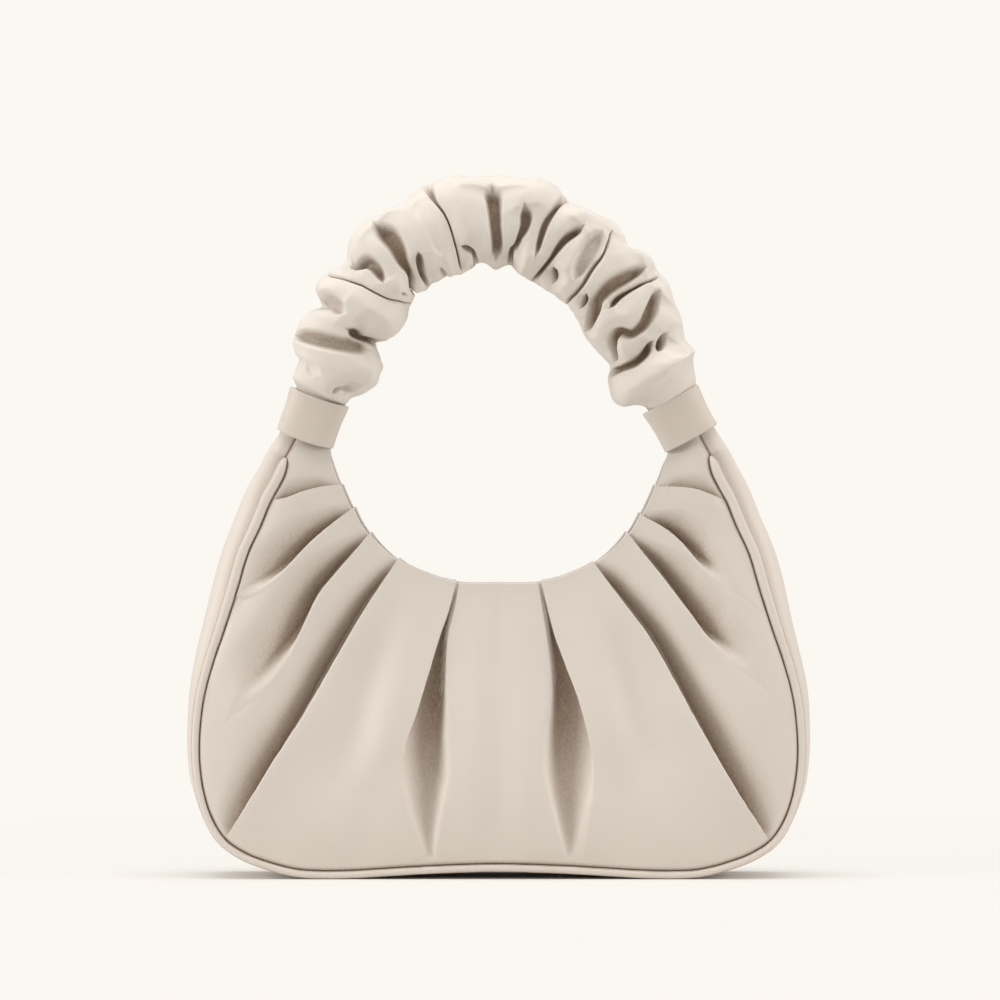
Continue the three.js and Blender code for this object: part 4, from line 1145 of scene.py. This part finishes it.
def gathers() -> list[Gather]:
    """The creases of the sleeve, from the left keeper to the right one, then those at the back."""
    g = Gather
    return [
        g(rows((14, 9.5, 2.4), (7, 8, 2.6)), 1.3),
        g(rows((-7, 4, 0.8), (-11, 7.5, 0.8), (-16, 8.5, 1.2)), 4.0),
        g(rows((-9, 9.5, 0.8), (-15, 10.5, 1.0)), 3.0),
        g(rows((19, 21.4, 1.7), (10, 22.4, 2.5), (0, 23.6, 2.6), (-7, 24.4, 2.2), (-14, 25.4, 1.4)), 7.0, 0.4),
        g(rows((-0.5, 31, 1.5), (-4, 30.6, 1.5), (-9, 30, 1.1), (-16, 30.2, 1.2), (-24, 30.5, 1.4)), 11.0),
        g(rows((25, 34.6, 1.2), (19, 35.2, 1.5), (14, 37.5, 2.2), (6, 37, 2.4)), 5.2),
        g(rows((19, 45.5, 0.6), (13, 47.5, 0.45), (5, 49, 0.45), (0.5, 49.5, 0.45), (-10, 51, 0.45), (-15, 53, 0.45), (-20, 55.5, 0.7)), 5.5, 0.6),
        g(rows((14, 52.5, 1.0), (12, 55.5, 1.5), (9, 57.5, 1.8), (3, 57.5, 1.9), (-2, 55.5, 1.2)), 7.5, 0.6),
        g(rows((17, 68.5, 1.4), (12, 69.5, 2.7), (5, 69.5, 2.6), (-3, 67.5, 2.0), (-10, 66, 1.2), (-15.5, 62, 0.8), (-23, 61, 0.9)), 9.0, -0.4),
        g(rows((-4, 75.5, 1.0), (-9, 73.5, 1.3), (-15, 71, 1.1), (-20, 70, 0.8)), 8.0),
        g(rows((-13, 57, 0.6), (-15, 57, 0.6)), 4.5),
        g(rows((-15, 81, 0.6), (-20, 81.5, 0.8)), 4.0),
        g(rows((16, 85, 2.2), (5, 85.5, 2.6), (-8, 84.5, 2.0)), 2.0),
        g(rows((22, 89, 1.2), (16, 89.4, 1.1), (12, 90, 0.7), (6, 91.5, 0.5), (0, 92, 0.5), (-10, 91.5, 0.5), (-18, 90.5, 0.6)), 6.5, -0.6),
        g(rows((-9, 95, 0.9), (-12, 98, 1.0), (-14, 99.5, 0.8), (-23, 100, 1.3)), 7.0),
        g(rows((15, 110, 2.4), (10, 110.4, 2.3), (0, 111, 2.0), (-12, 112, 2.0), (-17, 111.5, 1.6)), 8.5),
        g(rows((8, 122, 1.0), (5, 123, 1.7), (0, 123.5, 1.6), (-6, 122.5, 1.1), (-11, 121.5, 0.9), (-13, 120, 0.9), (-22, 119.5, 1.3)), 8.5),
        g(rows((22, 134.5, 0.9), (17, 133, 0.8), (10, 132, 1.0), (3, 131.5, 1.2), (-3, 132, 1.2), (-9, 133, 1.0)), 8.0, 0.4),
        g(rows((11, 144, 1.1), (5, 142, 1.5), (0, 141, 1.4), (-8, 140.5, 1.0), (-13, 140, 1.0), (-21, 138, 1.0)), 9.0, 0.4),
        g(rows((-11.8, 144.6, 0.9), (-16.8, 148.8, 0.9)), 10.5),
        g(rows((13, 150.5, 1.6), (6, 151.5, 2.9), (-2, 153, 2.7), (-9, 155, 1.6)), 5.0),
        g(rows((17, 153, 0.5), (8, 157, 0.6), (0, 158, 0.9), (-10, 160, 0.9), (-21, 161, 1.0)), 6.0, 0.7),
        g(rows((-10.8, 164.7, 0.8), (-15.8, 167.5, 0.8)), 10.5),
        g(rows((17, 170, 1.0), (10, 169, 1.8), (0, 168, 2.2), (-8, 169.5, 2.1), (-13, 173, 2.0), (-19, 178, 1.4)), 8.5),
        g(rows((19, 176, 0.6), (12, 175, 0.6), (5, 174.5, 0.8), (0, 174.5, 1.1), (-4.5, 175.7, 1.3)), 9.0, 0.5),
        g(rows((16, 180.5, 1.6), (10, 185.5, 2.2), (3, 189, 1.9), (-3, 190, 1.7), (-8, 187, 1.8), (-12, 188, 1.8), (-15, 192, 1.6), (-18, 198, 1.2)), 9.0, 0.3),
        g(rows((12.8, 195.5, 1.0), (9.5, 198.5, 1.3), (6.5, 201, 0.9)), 8.6),
        g(rows((4.5, 196.5, 0.9), (0, 200, 1.5), (-6, 202.2, 1.7), (-13, 203, 1.3), (-23, 203.4, 1.4)), 10.5, 0.3),
        g(rows((5, 209, 3.0), (-12, 209.5, 3.0)), 1.3),
        g(rows((20, 20, 1.6), (0, 18, 2.2), (-19, 15, 1.5)), 7.0, 0.4, True),
        g(rows((12, 38, 1.4), (-6, 40, 2.0), (-21, 36, 1.2)), 8.0, -0.4, True),
        g(rows((21, 52, 1.0), (6, 48, 1.5), (-15, 45, 1.2)), 7.0, 0.4, True),
        g(rows((15, 58, 1.4), (-6, 61, 2.4), (-21, 64, 1.4)), 8.5, 0.0, True),
        g(rows((21, 71, 0.8), (3, 76, 1.2), (-17, 79, 0.9)), 7.0, 0.6, True),
        g(rows((12, 88, 1.3), (-6, 90, 2.0), (-21, 86, 1.3)), 8.0, 0.0, True),
        g(rows((21, 104, 1.4), (3, 100, 2.3), (-18, 102, 1.4)), 8.0, 0.3, True),
        g(rows((19, 119, 1.2), (3, 118, 1.9), (-13, 115, 1.3)), 8.0, -0.5, True),
        g(rows((15, 128, 0.8), (-6, 130, 1.2), (-21, 129, 1.0)), 7.0, 0.5, True),
        g(rows((21, 144, 1.5), (0, 146, 2.3), (-18, 143, 1.5)), 8.5, 0.0, True),
        g(rows((22, 163, 0.9), (6, 158, 1.4), (-15, 156, 1.0)), 7.0, 0.5, True),
        g(rows((17, 170, 1.5), (-3, 172, 2.2), (-21, 168, 1.5)), 8.0, 0.0, True),
        g(rows((19, 181, 1.2), (0, 182, 1.8), (-18, 185, 1.3)), 8.0, 0.4, True),
        g(rows((15, 192, 1.0), (-3, 195, 1.5), (-16, 198, 1.2)), 7.5, -0.4, True),
        g(rows((11, 207.5, 1.6), (-3, 209, 2.4), (-15, 210, 1.4)), 3.0, 0.0, True),
    ]


@dataclass
class Handle:
    """The gathered sleeve and the strap inside it."""

    rise: float = 81.6
    stations: int = 620
    sides: int = 150
    # across and up, as shares of half the keepers' distance and of the rise
    arch: np.ndarray = field(
        default_factory=lambda: rows(
            (-0.888, 0.228),
            (-0.845, 0.35),
            (-0.784, 0.485),
            (-0.7, 0.626),
            (-0.571, 0.779),
            (-0.377, 0.914),
            (-0.171, 0.985),
            (0.01, 1.0),
            (0.191, 0.975),
            (0.372, 0.89),
            (0.54, 0.752),
            (0.663, 0.602),
            (0.747, 0.467),
            (0.802, 0.338),
            (0.844, 0.222),
        )
    )
    # place along the handle, then how far the sleeve reaches out, in, and to the front and back
    outline: np.ndarray = field(
        default_factory=lambda: rows(
            (-9.5, 10.2, 10.2, 6.2),
            (-0.6, 10.6, 10.4, 6.4),
            (1.6, 13.8, 11.0, 9.0),
            (6.0, 14.8, 11.8, 12.4),
            (10.0, 15.8, 16.2, 14.0),
            (14.0, 18.6, 19.6, 15.8),
            (20.0, 22.6, 19.8, 16.8),
            (26.0, 21.2, 17.6, 16.8),
            (30.0, 20.2, 15.8, 16.4),
            (34.0, 17.4, 20.2, 16.4),
            (40.0, 22.2, 20.4, 17.0),
            (46.0, 20.6, 19.6, 16.8),
            (53.0, 17.6, 18.2, 16.2),
            (60.0, 21.0, 19.8, 16.6),
            (67.0, 22.8, 19.8, 16.8),
            (73.0, 21.8, 18.0, 16.6),
            (79.0, 19.0, 18.2, 16.4),
            (85.0, 22.2, 19.8, 16.8),
            (90.0, 23.6, 20.4, 16.8),
            (98.0, 23.2, 19.4, 16.8),
            (105.0, 22.2, 17.8, 16.6),
            (112.0, 20.6, 19.4, 16.6),
            (120.0, 20.8, 19.2, 16.6),
            (128.0, 22.4, 21.8, 16.8),
            (136.0, 19.0, 22.4, 16.6),
            (144.0, 20.2, 21.4, 16.6),
            (152.0, 21.2, 19.6, 16.6),
            (160.0, 19.4, 20.2, 16.6),
            (167.0, 22.6, 20.8, 16.8),
            (173.0, 21.4, 20.6, 16.8),
            (178.0, 23.0, 21.2, 17.0),
            (186.0, 20.8, 19.6, 16.8),
            (193.0, 19.4, 18.4, 16.2),
            (199.0, 18.4, 17.3, 15.2),
            (203.0, 20.1, 19.5, 16.6),
            (207.0, 20.9, 20.8, 17.8),
            (210.0, 20.5, 20.6, 17.8),
            (212.5, 19.6, 18.2, 16.6),
            (214.6, 18.4, 13.2, 14.2),
            (218.0, 15.9, 10.4, 11.6),
            (221.5, 13.4, 10.0, 9.4),
            (224.2, 10.8, 8.2, 6.4),
            (233.0, 10.2, 7.6, 6.2),
        )
    )

    def __post_init__(self) -> None:
        """Draws the centreline from the middle of one keeper to the middle of the other."""
        left, right = KEEPERS[Side.LEFT], KEEPERS[Side.RIGHT]
        low, high = left.frame()[0], right.frame()[0]
        middle, half = (low + high) / 2, (high[0] - low[0]) / 2
        arch = np.stack(
            [
                middle[0] + self.arch[:, 0] * half,
                0 * self.arch[:, 0],
                middle[2] + self.arch[:, 1] * self.rise,
            ],
            1,
        )
        ends = [k.place(0, d) for k in (left, right) for d in (CLEARANCE / 2, KEEPER_HEIGHT / 2)]
        self.path = Curve(np.vstack([ends[:2], arch, ends[:1:-1]]))

    def _beside(self, s: np.ndarray, out: np.ndarray, back: np.ndarray) -> np.ndarray:
        """Points beside the centreline.

        Args:
            s: places along the handle, counted from the left keeper's upper edge.
            out: how far outwards.
            back: how far to the back.

        Returns:
            The points.
        """
        distance = np.clip(s + KEEPER_HEIGHT / 2, 0, self.path.length)
        centre = self.path.at(distance)
        ahead = self.path.heading(distance, 3.0)
        outward = np.stack([-ahead[..., 2], 0 * ahead[..., 0], ahead[..., 0]], -1)
        return centre + outward * out[..., None] + back[..., None] * np.array([0.0, 1.0, 0.0])

    def sleeve(self) -> bpy.types.Object:
        """Makes the gathered sleeve as a closed skin.

        The outline gives three half axes at each place. The creases cut into them, small
        puckers run across, and the walls of the leaning creases are drawn over them.

        Returns:
            The sleeve.
        """
        last = self.path.length - KEEPER_HEIGHT / 2
        s = np.linspace(-9.3, last - 0.2, self.stations)[:, None]
        angle = np.linspace(-np.pi, np.pi, self.sides, endpoint=False)[None]
        outer, inner, depth = (monotone(s, self.outline[:, [0, k]]) for k in (1, 2, 3))
        sine, cosine = np.sin(angle), np.cos(angle)
        cuts, shift = [], np.zeros((self.stations, self.sides))
        for gather in gathers():
            cut, moved = gather.field(s, angle)
            cuts.append(cut)
            shift = shift + moved
        free = smooth((np.minimum(s, last - 10 - s) + 0.5) / 7.0)
        total = (np.stack(cuts) ** 2.6).sum(0) ** (1 / 2.6)
        total = 12.0 * np.tanh(1.15 * total / 12.0)
        puckers = 0.26 * ripples(s, angle * 6, 11.0, 41) + 0.10 * ripples(s, angle * 9, 5.0, 42)
        proud = (-total + puckers) * free
        radius = np.where(sine > 0, outer, inner)
        across = (radius + proud) * np.sign(sine) * np.abs(sine) ** 0.92
        deep = (depth + proud) * np.sign(cosine) * np.abs(cosine) ** 0.92
        across = np.sign(sine) * np.maximum(np.abs(across), 7.6 * np.abs(sine))
        deep = np.sign(cosine) * np.maximum(np.abs(deep), 4.6 * np.abs(cosine))
        grid = self._beside(s + shift * free, across, -deep)
        # Painted shade in the sleeve's creases; the same mask deepens the grain there.
        crease = np.clip((total - 3.0) / 4.8, 0, 1) ** 1.2 * free
        return solid_from_loops("handle_ruched_sleeve", grid, crease=crease)

    def strap(self) -> bpy.types.Object:
        """Makes the strap inside the sleeve, which shows beside the keepers.

        Returns:
            The strap, a rounded oblong carried along the centreline.
        """
        s = np.linspace(-9.3, self.path.length - KEEPER_HEIGHT / 2 - 0.2, 160)[:, None]
        angle = np.linspace(0, 2 * np.pi, 40, endpoint=False)[None]
        c, d = np.cos(angle), np.sin(angle)
        across = 9.6 * np.sign(c) * np.abs(c) ** 0.5 + 0 * s
        back = 3.4 * np.sign(d) * np.abs(d) ** 0.6 + 0 * s
        tuck = smooth((np.minimum(s, self.path.length - 19 - s) - 4) / 8)
        return solid_from_loops(
            "handle_strap", self._beside(s, across * (1 - 0.3 * tuck) - 0.4, back)
        )


# The studio


@dataclass
class Studio:
    """A pale floor without end, soft light from above and a long lens in front."""

    background: tuple[float, float, float] = (0.965, 0.939, 0.888)
    pixel: float = 0.00041734
    distance: float = 2.7

    def camera(self) -> None:
        """Sets a level camera so that one pixel of 1000 covers the photograph's length."""
        data = bpy.data.cameras.new("camera")
        data.sensor_width = 36.0
        data.lens = 36.0 * (self.distance - 0.02) / (1000 * self.pixel)
        data.clip_end = 20.0
        made = bpy.data.objects.new("camera", data)
        made.location = (1.5 * self.pixel, -self.distance, 378 * self.pixel)
        made.rotation_euler = (math.pi / 2, 0, 0)
        bpy.context.scene.collection.objects.link(made)
        bpy.context.scene.camera = made

    def world(self) -> None:
        """Shows the background's colour, and lights the scene with a dimmer one."""
        made = bpy.data.worlds.new("studio")
        bpy.context.scene.world = made
        made.use_nodes = True
        tree = made.node_tree
        shown = tree.nodes["Background"]
        shown.inputs["Color"].default_value = (*self.background, 1)
        light = tree.nodes.new("ShaderNodeBackground")
        light.inputs["Color"].default_value = (1.0, 0.93, 0.86, 1)
        light.inputs["Strength"].default_value = 0.33
        path = tree.nodes.new("ShaderNodeLightPath")
        mix = tree.nodes.new("ShaderNodeMixShader")
        tree.links.new(path.outputs["Is Camera Ray"], mix.inputs[0])
        tree.links.new(light.outputs[0], mix.inputs[1])
        tree.links.new(shown.outputs[0], mix.inputs[2])
        tree.links.new(mix.outputs[0], tree.nodes["World Output"].inputs["Surface"])

    def lamp(
        self, name: str, place: tuple, aim: tuple, size: tuple[float, float], power: float
    ) -> None:
        """Adds a soft box.

        Args:
            name: the lamp's name.
            place: where it hangs.
            aim: the point that it faces.
            size: its two sides, in metres.
            power: in watts.
        """
        data = bpy.data.lights.new(name, "AREA")
        data.shape = "RECTANGLE"
        data.size, data.size_y = size
        data.energy = power
        data.color = (1.0, 0.99, 0.98)
        made = bpy.data.objects.new(name, data)
        made.location = place
        heading = Vector(aim) - Vector(place)
        made.rotation_euler = heading.to_track_quat("-Z", "Y").to_euler()
        bpy.context.scene.collection.objects.link(made)

    def floor(self) -> None:
        """Lays a pale disc that fades into the background away from the bag."""
        turn = np.linspace(0, 2 * np.pi, 96, endpoint=False)
        rings = np.array([0.0, 0.2, 0.4, 0.7, 1.1, 1.6])[:, None]
        points = np.stack([rings * np.cos(turn), rings * np.sin(turn), 0 * rings * turn], -1)
        i, j = np.arange(5)[:, None], np.arange(96)[None]
        k = (j + 1) % 96
        quads = np.stack([i * 96 + j, (i + 1) * 96 + j, (i + 1) * 96 + k, i * 96 + k], -1)
        mesh = bpy.data.meshes.new("floor")
        mesh.from_pydata(points.reshape(-1, 3).tolist(), [], quads.reshape(-1, 4).tolist())
        made = bpy.data.objects.new("floor", mesh)
        bpy.context.scene.collection.objects.link(made)
        material = bpy.data.materials.new("floor")
        material.use_nodes = True
        tree = material.node_tree
        output = tree.nodes["Material Output"]
        tree.nodes.remove(tree.nodes["Principled BSDF"])
        paint = tree.nodes.new("ShaderNodeBsdfDiffuse")
        paint.inputs["Color"].default_value = (0.78, 0.755, 0.72, 1)
        glow = tree.nodes.new("ShaderNodeEmission")
        glow.inputs["Color"].default_value = (*self.background, 1)
        ray = tree.nodes.new("ShaderNodeLightPath")
        part = math_node(tree, "MULTIPLY_ADD", ray.outputs["Is Camera Ray"], 0.22, 0.62)
        # Painted shade: the floor's glow gives way to the lit paint where the ambient-occlusion node finds the bag
        # close, which deepens its contact shadow.
        open_sky = tree.nodes.new("ShaderNodeAmbientOcclusion")
        open_sky.inputs["Distance"].default_value = 0.05
        share = math_node(tree, "POWER", open_sky.outputs["AO"], 1.4)
        share = math_node(tree, "MULTIPLY", share, part)
        lit = tree.nodes.new("ShaderNodeMixShader")
        tree.links.new(share, lit.inputs[0])
        tree.links.new(paint.outputs[0], lit.inputs[1])
        tree.links.new(glow.outputs[0], lit.inputs[2])
        clear = tree.nodes.new("ShaderNodeBsdfTransparent")
        place = tree.nodes.new("ShaderNodeTexCoord")
        length = tree.nodes.new("ShaderNodeVectorMath")
        length.operation = "LENGTH"
        tree.links.new(place.outputs["Object"], length.inputs[0])
        fade = tree.nodes.new("ShaderNodeMapRange")
        fade.interpolation_type = "SMOOTHERSTEP"
        fade.inputs["From Min"].default_value = 0.2
        fade.inputs["From Max"].default_value = 0.7
        tree.links.new(length.outputs["Value"], fade.inputs["Value"])
        mix = tree.nodes.new("ShaderNodeMixShader")
        tree.links.new(fade.outputs["Result"], mix.inputs[0])
        tree.links.new(lit.outputs[0], mix.inputs[1])
        tree.links.new(clear.outputs[0], mix.inputs[2])
        tree.links.new(mix.outputs[0], output.inputs["Surface"])
        mesh.materials.append(material)

    def build(self) -> None:
        """Sets up camera, world, lamps and floor."""
        self.camera()
        self.world()
        self.floor()
        self.lamp("overhead", (0.0, -0.1, 1.6), (0.0, 0.0, 0.1), (1.5, 1.1), 17.0)
        self.lamp("key", (-0.2, -1.2, 1.35), (0.0, 0.0, 0.14), (0.9, 0.7), 1.2)
        self.lamp("left", (-1.5, -0.5, 0.5), (0.0, 0.0, 0.12), (0.9, 0.9), 16.0)
        self.lamp("right", (1.5, -0.5, 0.5), (0.0, 0.0, 0.12), (0.9, 0.9), 12.5)



OAT = (0.69, 0.632, 0.57)
# The gusset and sleeve are painted lighter, and the keepers darker, than the body's oat leather: painted light and
# painted shade for how the lamps fall on one leather. The sleeve's folds get deeper painted shade.
FINISHES = {
    "oat_leather": Leather("Oat leather", "oat_leather", OAT),
    "gusset": Leather("Gusset leather", "oat_leather", (0.715, 0.652, 0.586)),
    "piping_leather": Leather("Piping leather", "piping_leather", (0.71, 0.65, 0.59)),
    "keeper_leather": Leather("Keeper leather", "keeper_leather", (0.67, 0.60, 0.53)),
    "sleeve_leather": Leather(
        "Sleeve leather", "sleeve_leather", (0.765, 0.71, 0.645), (0.43, 0.355, 0.29)
    ),
    "strap_leather": Leather("Strap leather", "strap_leather", (0.62, 0.56, 0.49)),
}


def dress(
    piece: bpy.types.Object, finish: str, materials: dict[str, bpy.types.Material], *nodes: str
) -> None:
    """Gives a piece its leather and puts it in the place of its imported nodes.

    Args:
        piece: the new piece.
        finish: the name of its finish.
        materials: the built materials.
        nodes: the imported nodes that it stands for.
    """
    piece.data.materials.append(materials[finish])
    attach(piece, "root")
    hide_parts(*nodes)
    log.info("%s: %d faces", piece.name, len(piece.data.polygons))


def main() -> None:
    """Builds the bag, dresses it and lights it."""
    logging.basicConfig(level=logging.INFO, format="%(name)s %(message)s")
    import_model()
    grain = PebbleGrain()
    materials = {name: finish.material(grain) for name, finish in FINISHES.items()}
    Studio().build()
    edges = BodyEdges()
    dress(Panel(Face.FRONT, edges).build(), "oat_leather", materials, "front_panel")
    dress(Panel(Face.BACK, edges).build(), "oat_leather", materials, "back_panel")
    dress(Gusset(edges).build(), "gusset", materials, "gusset")
    dress(Piping(Face.FRONT, edges).build(), "piping_leather", materials, "piping_front")
    dress(Piping(Face.BACK, edges).build(), "piping_leather", materials, "piping_back")
    dress(KEEPERS[Side.LEFT].build(), "keeper_leather", materials, "keeper_left")
    dress(KEEPERS[Side.RIGHT].build(), "keeper_leather", materials, "keeper_right")
    handle = Handle()
    dress(handle.sleeve(), "sleeve_leather", materials, "handle_sleeve")
    dress(handle.strap(), "strap_leather", materials, "handle_core")
    bpy.context.scene.view_settings.view_transform = "Standard"


if __name__ == "__main__":
    main()
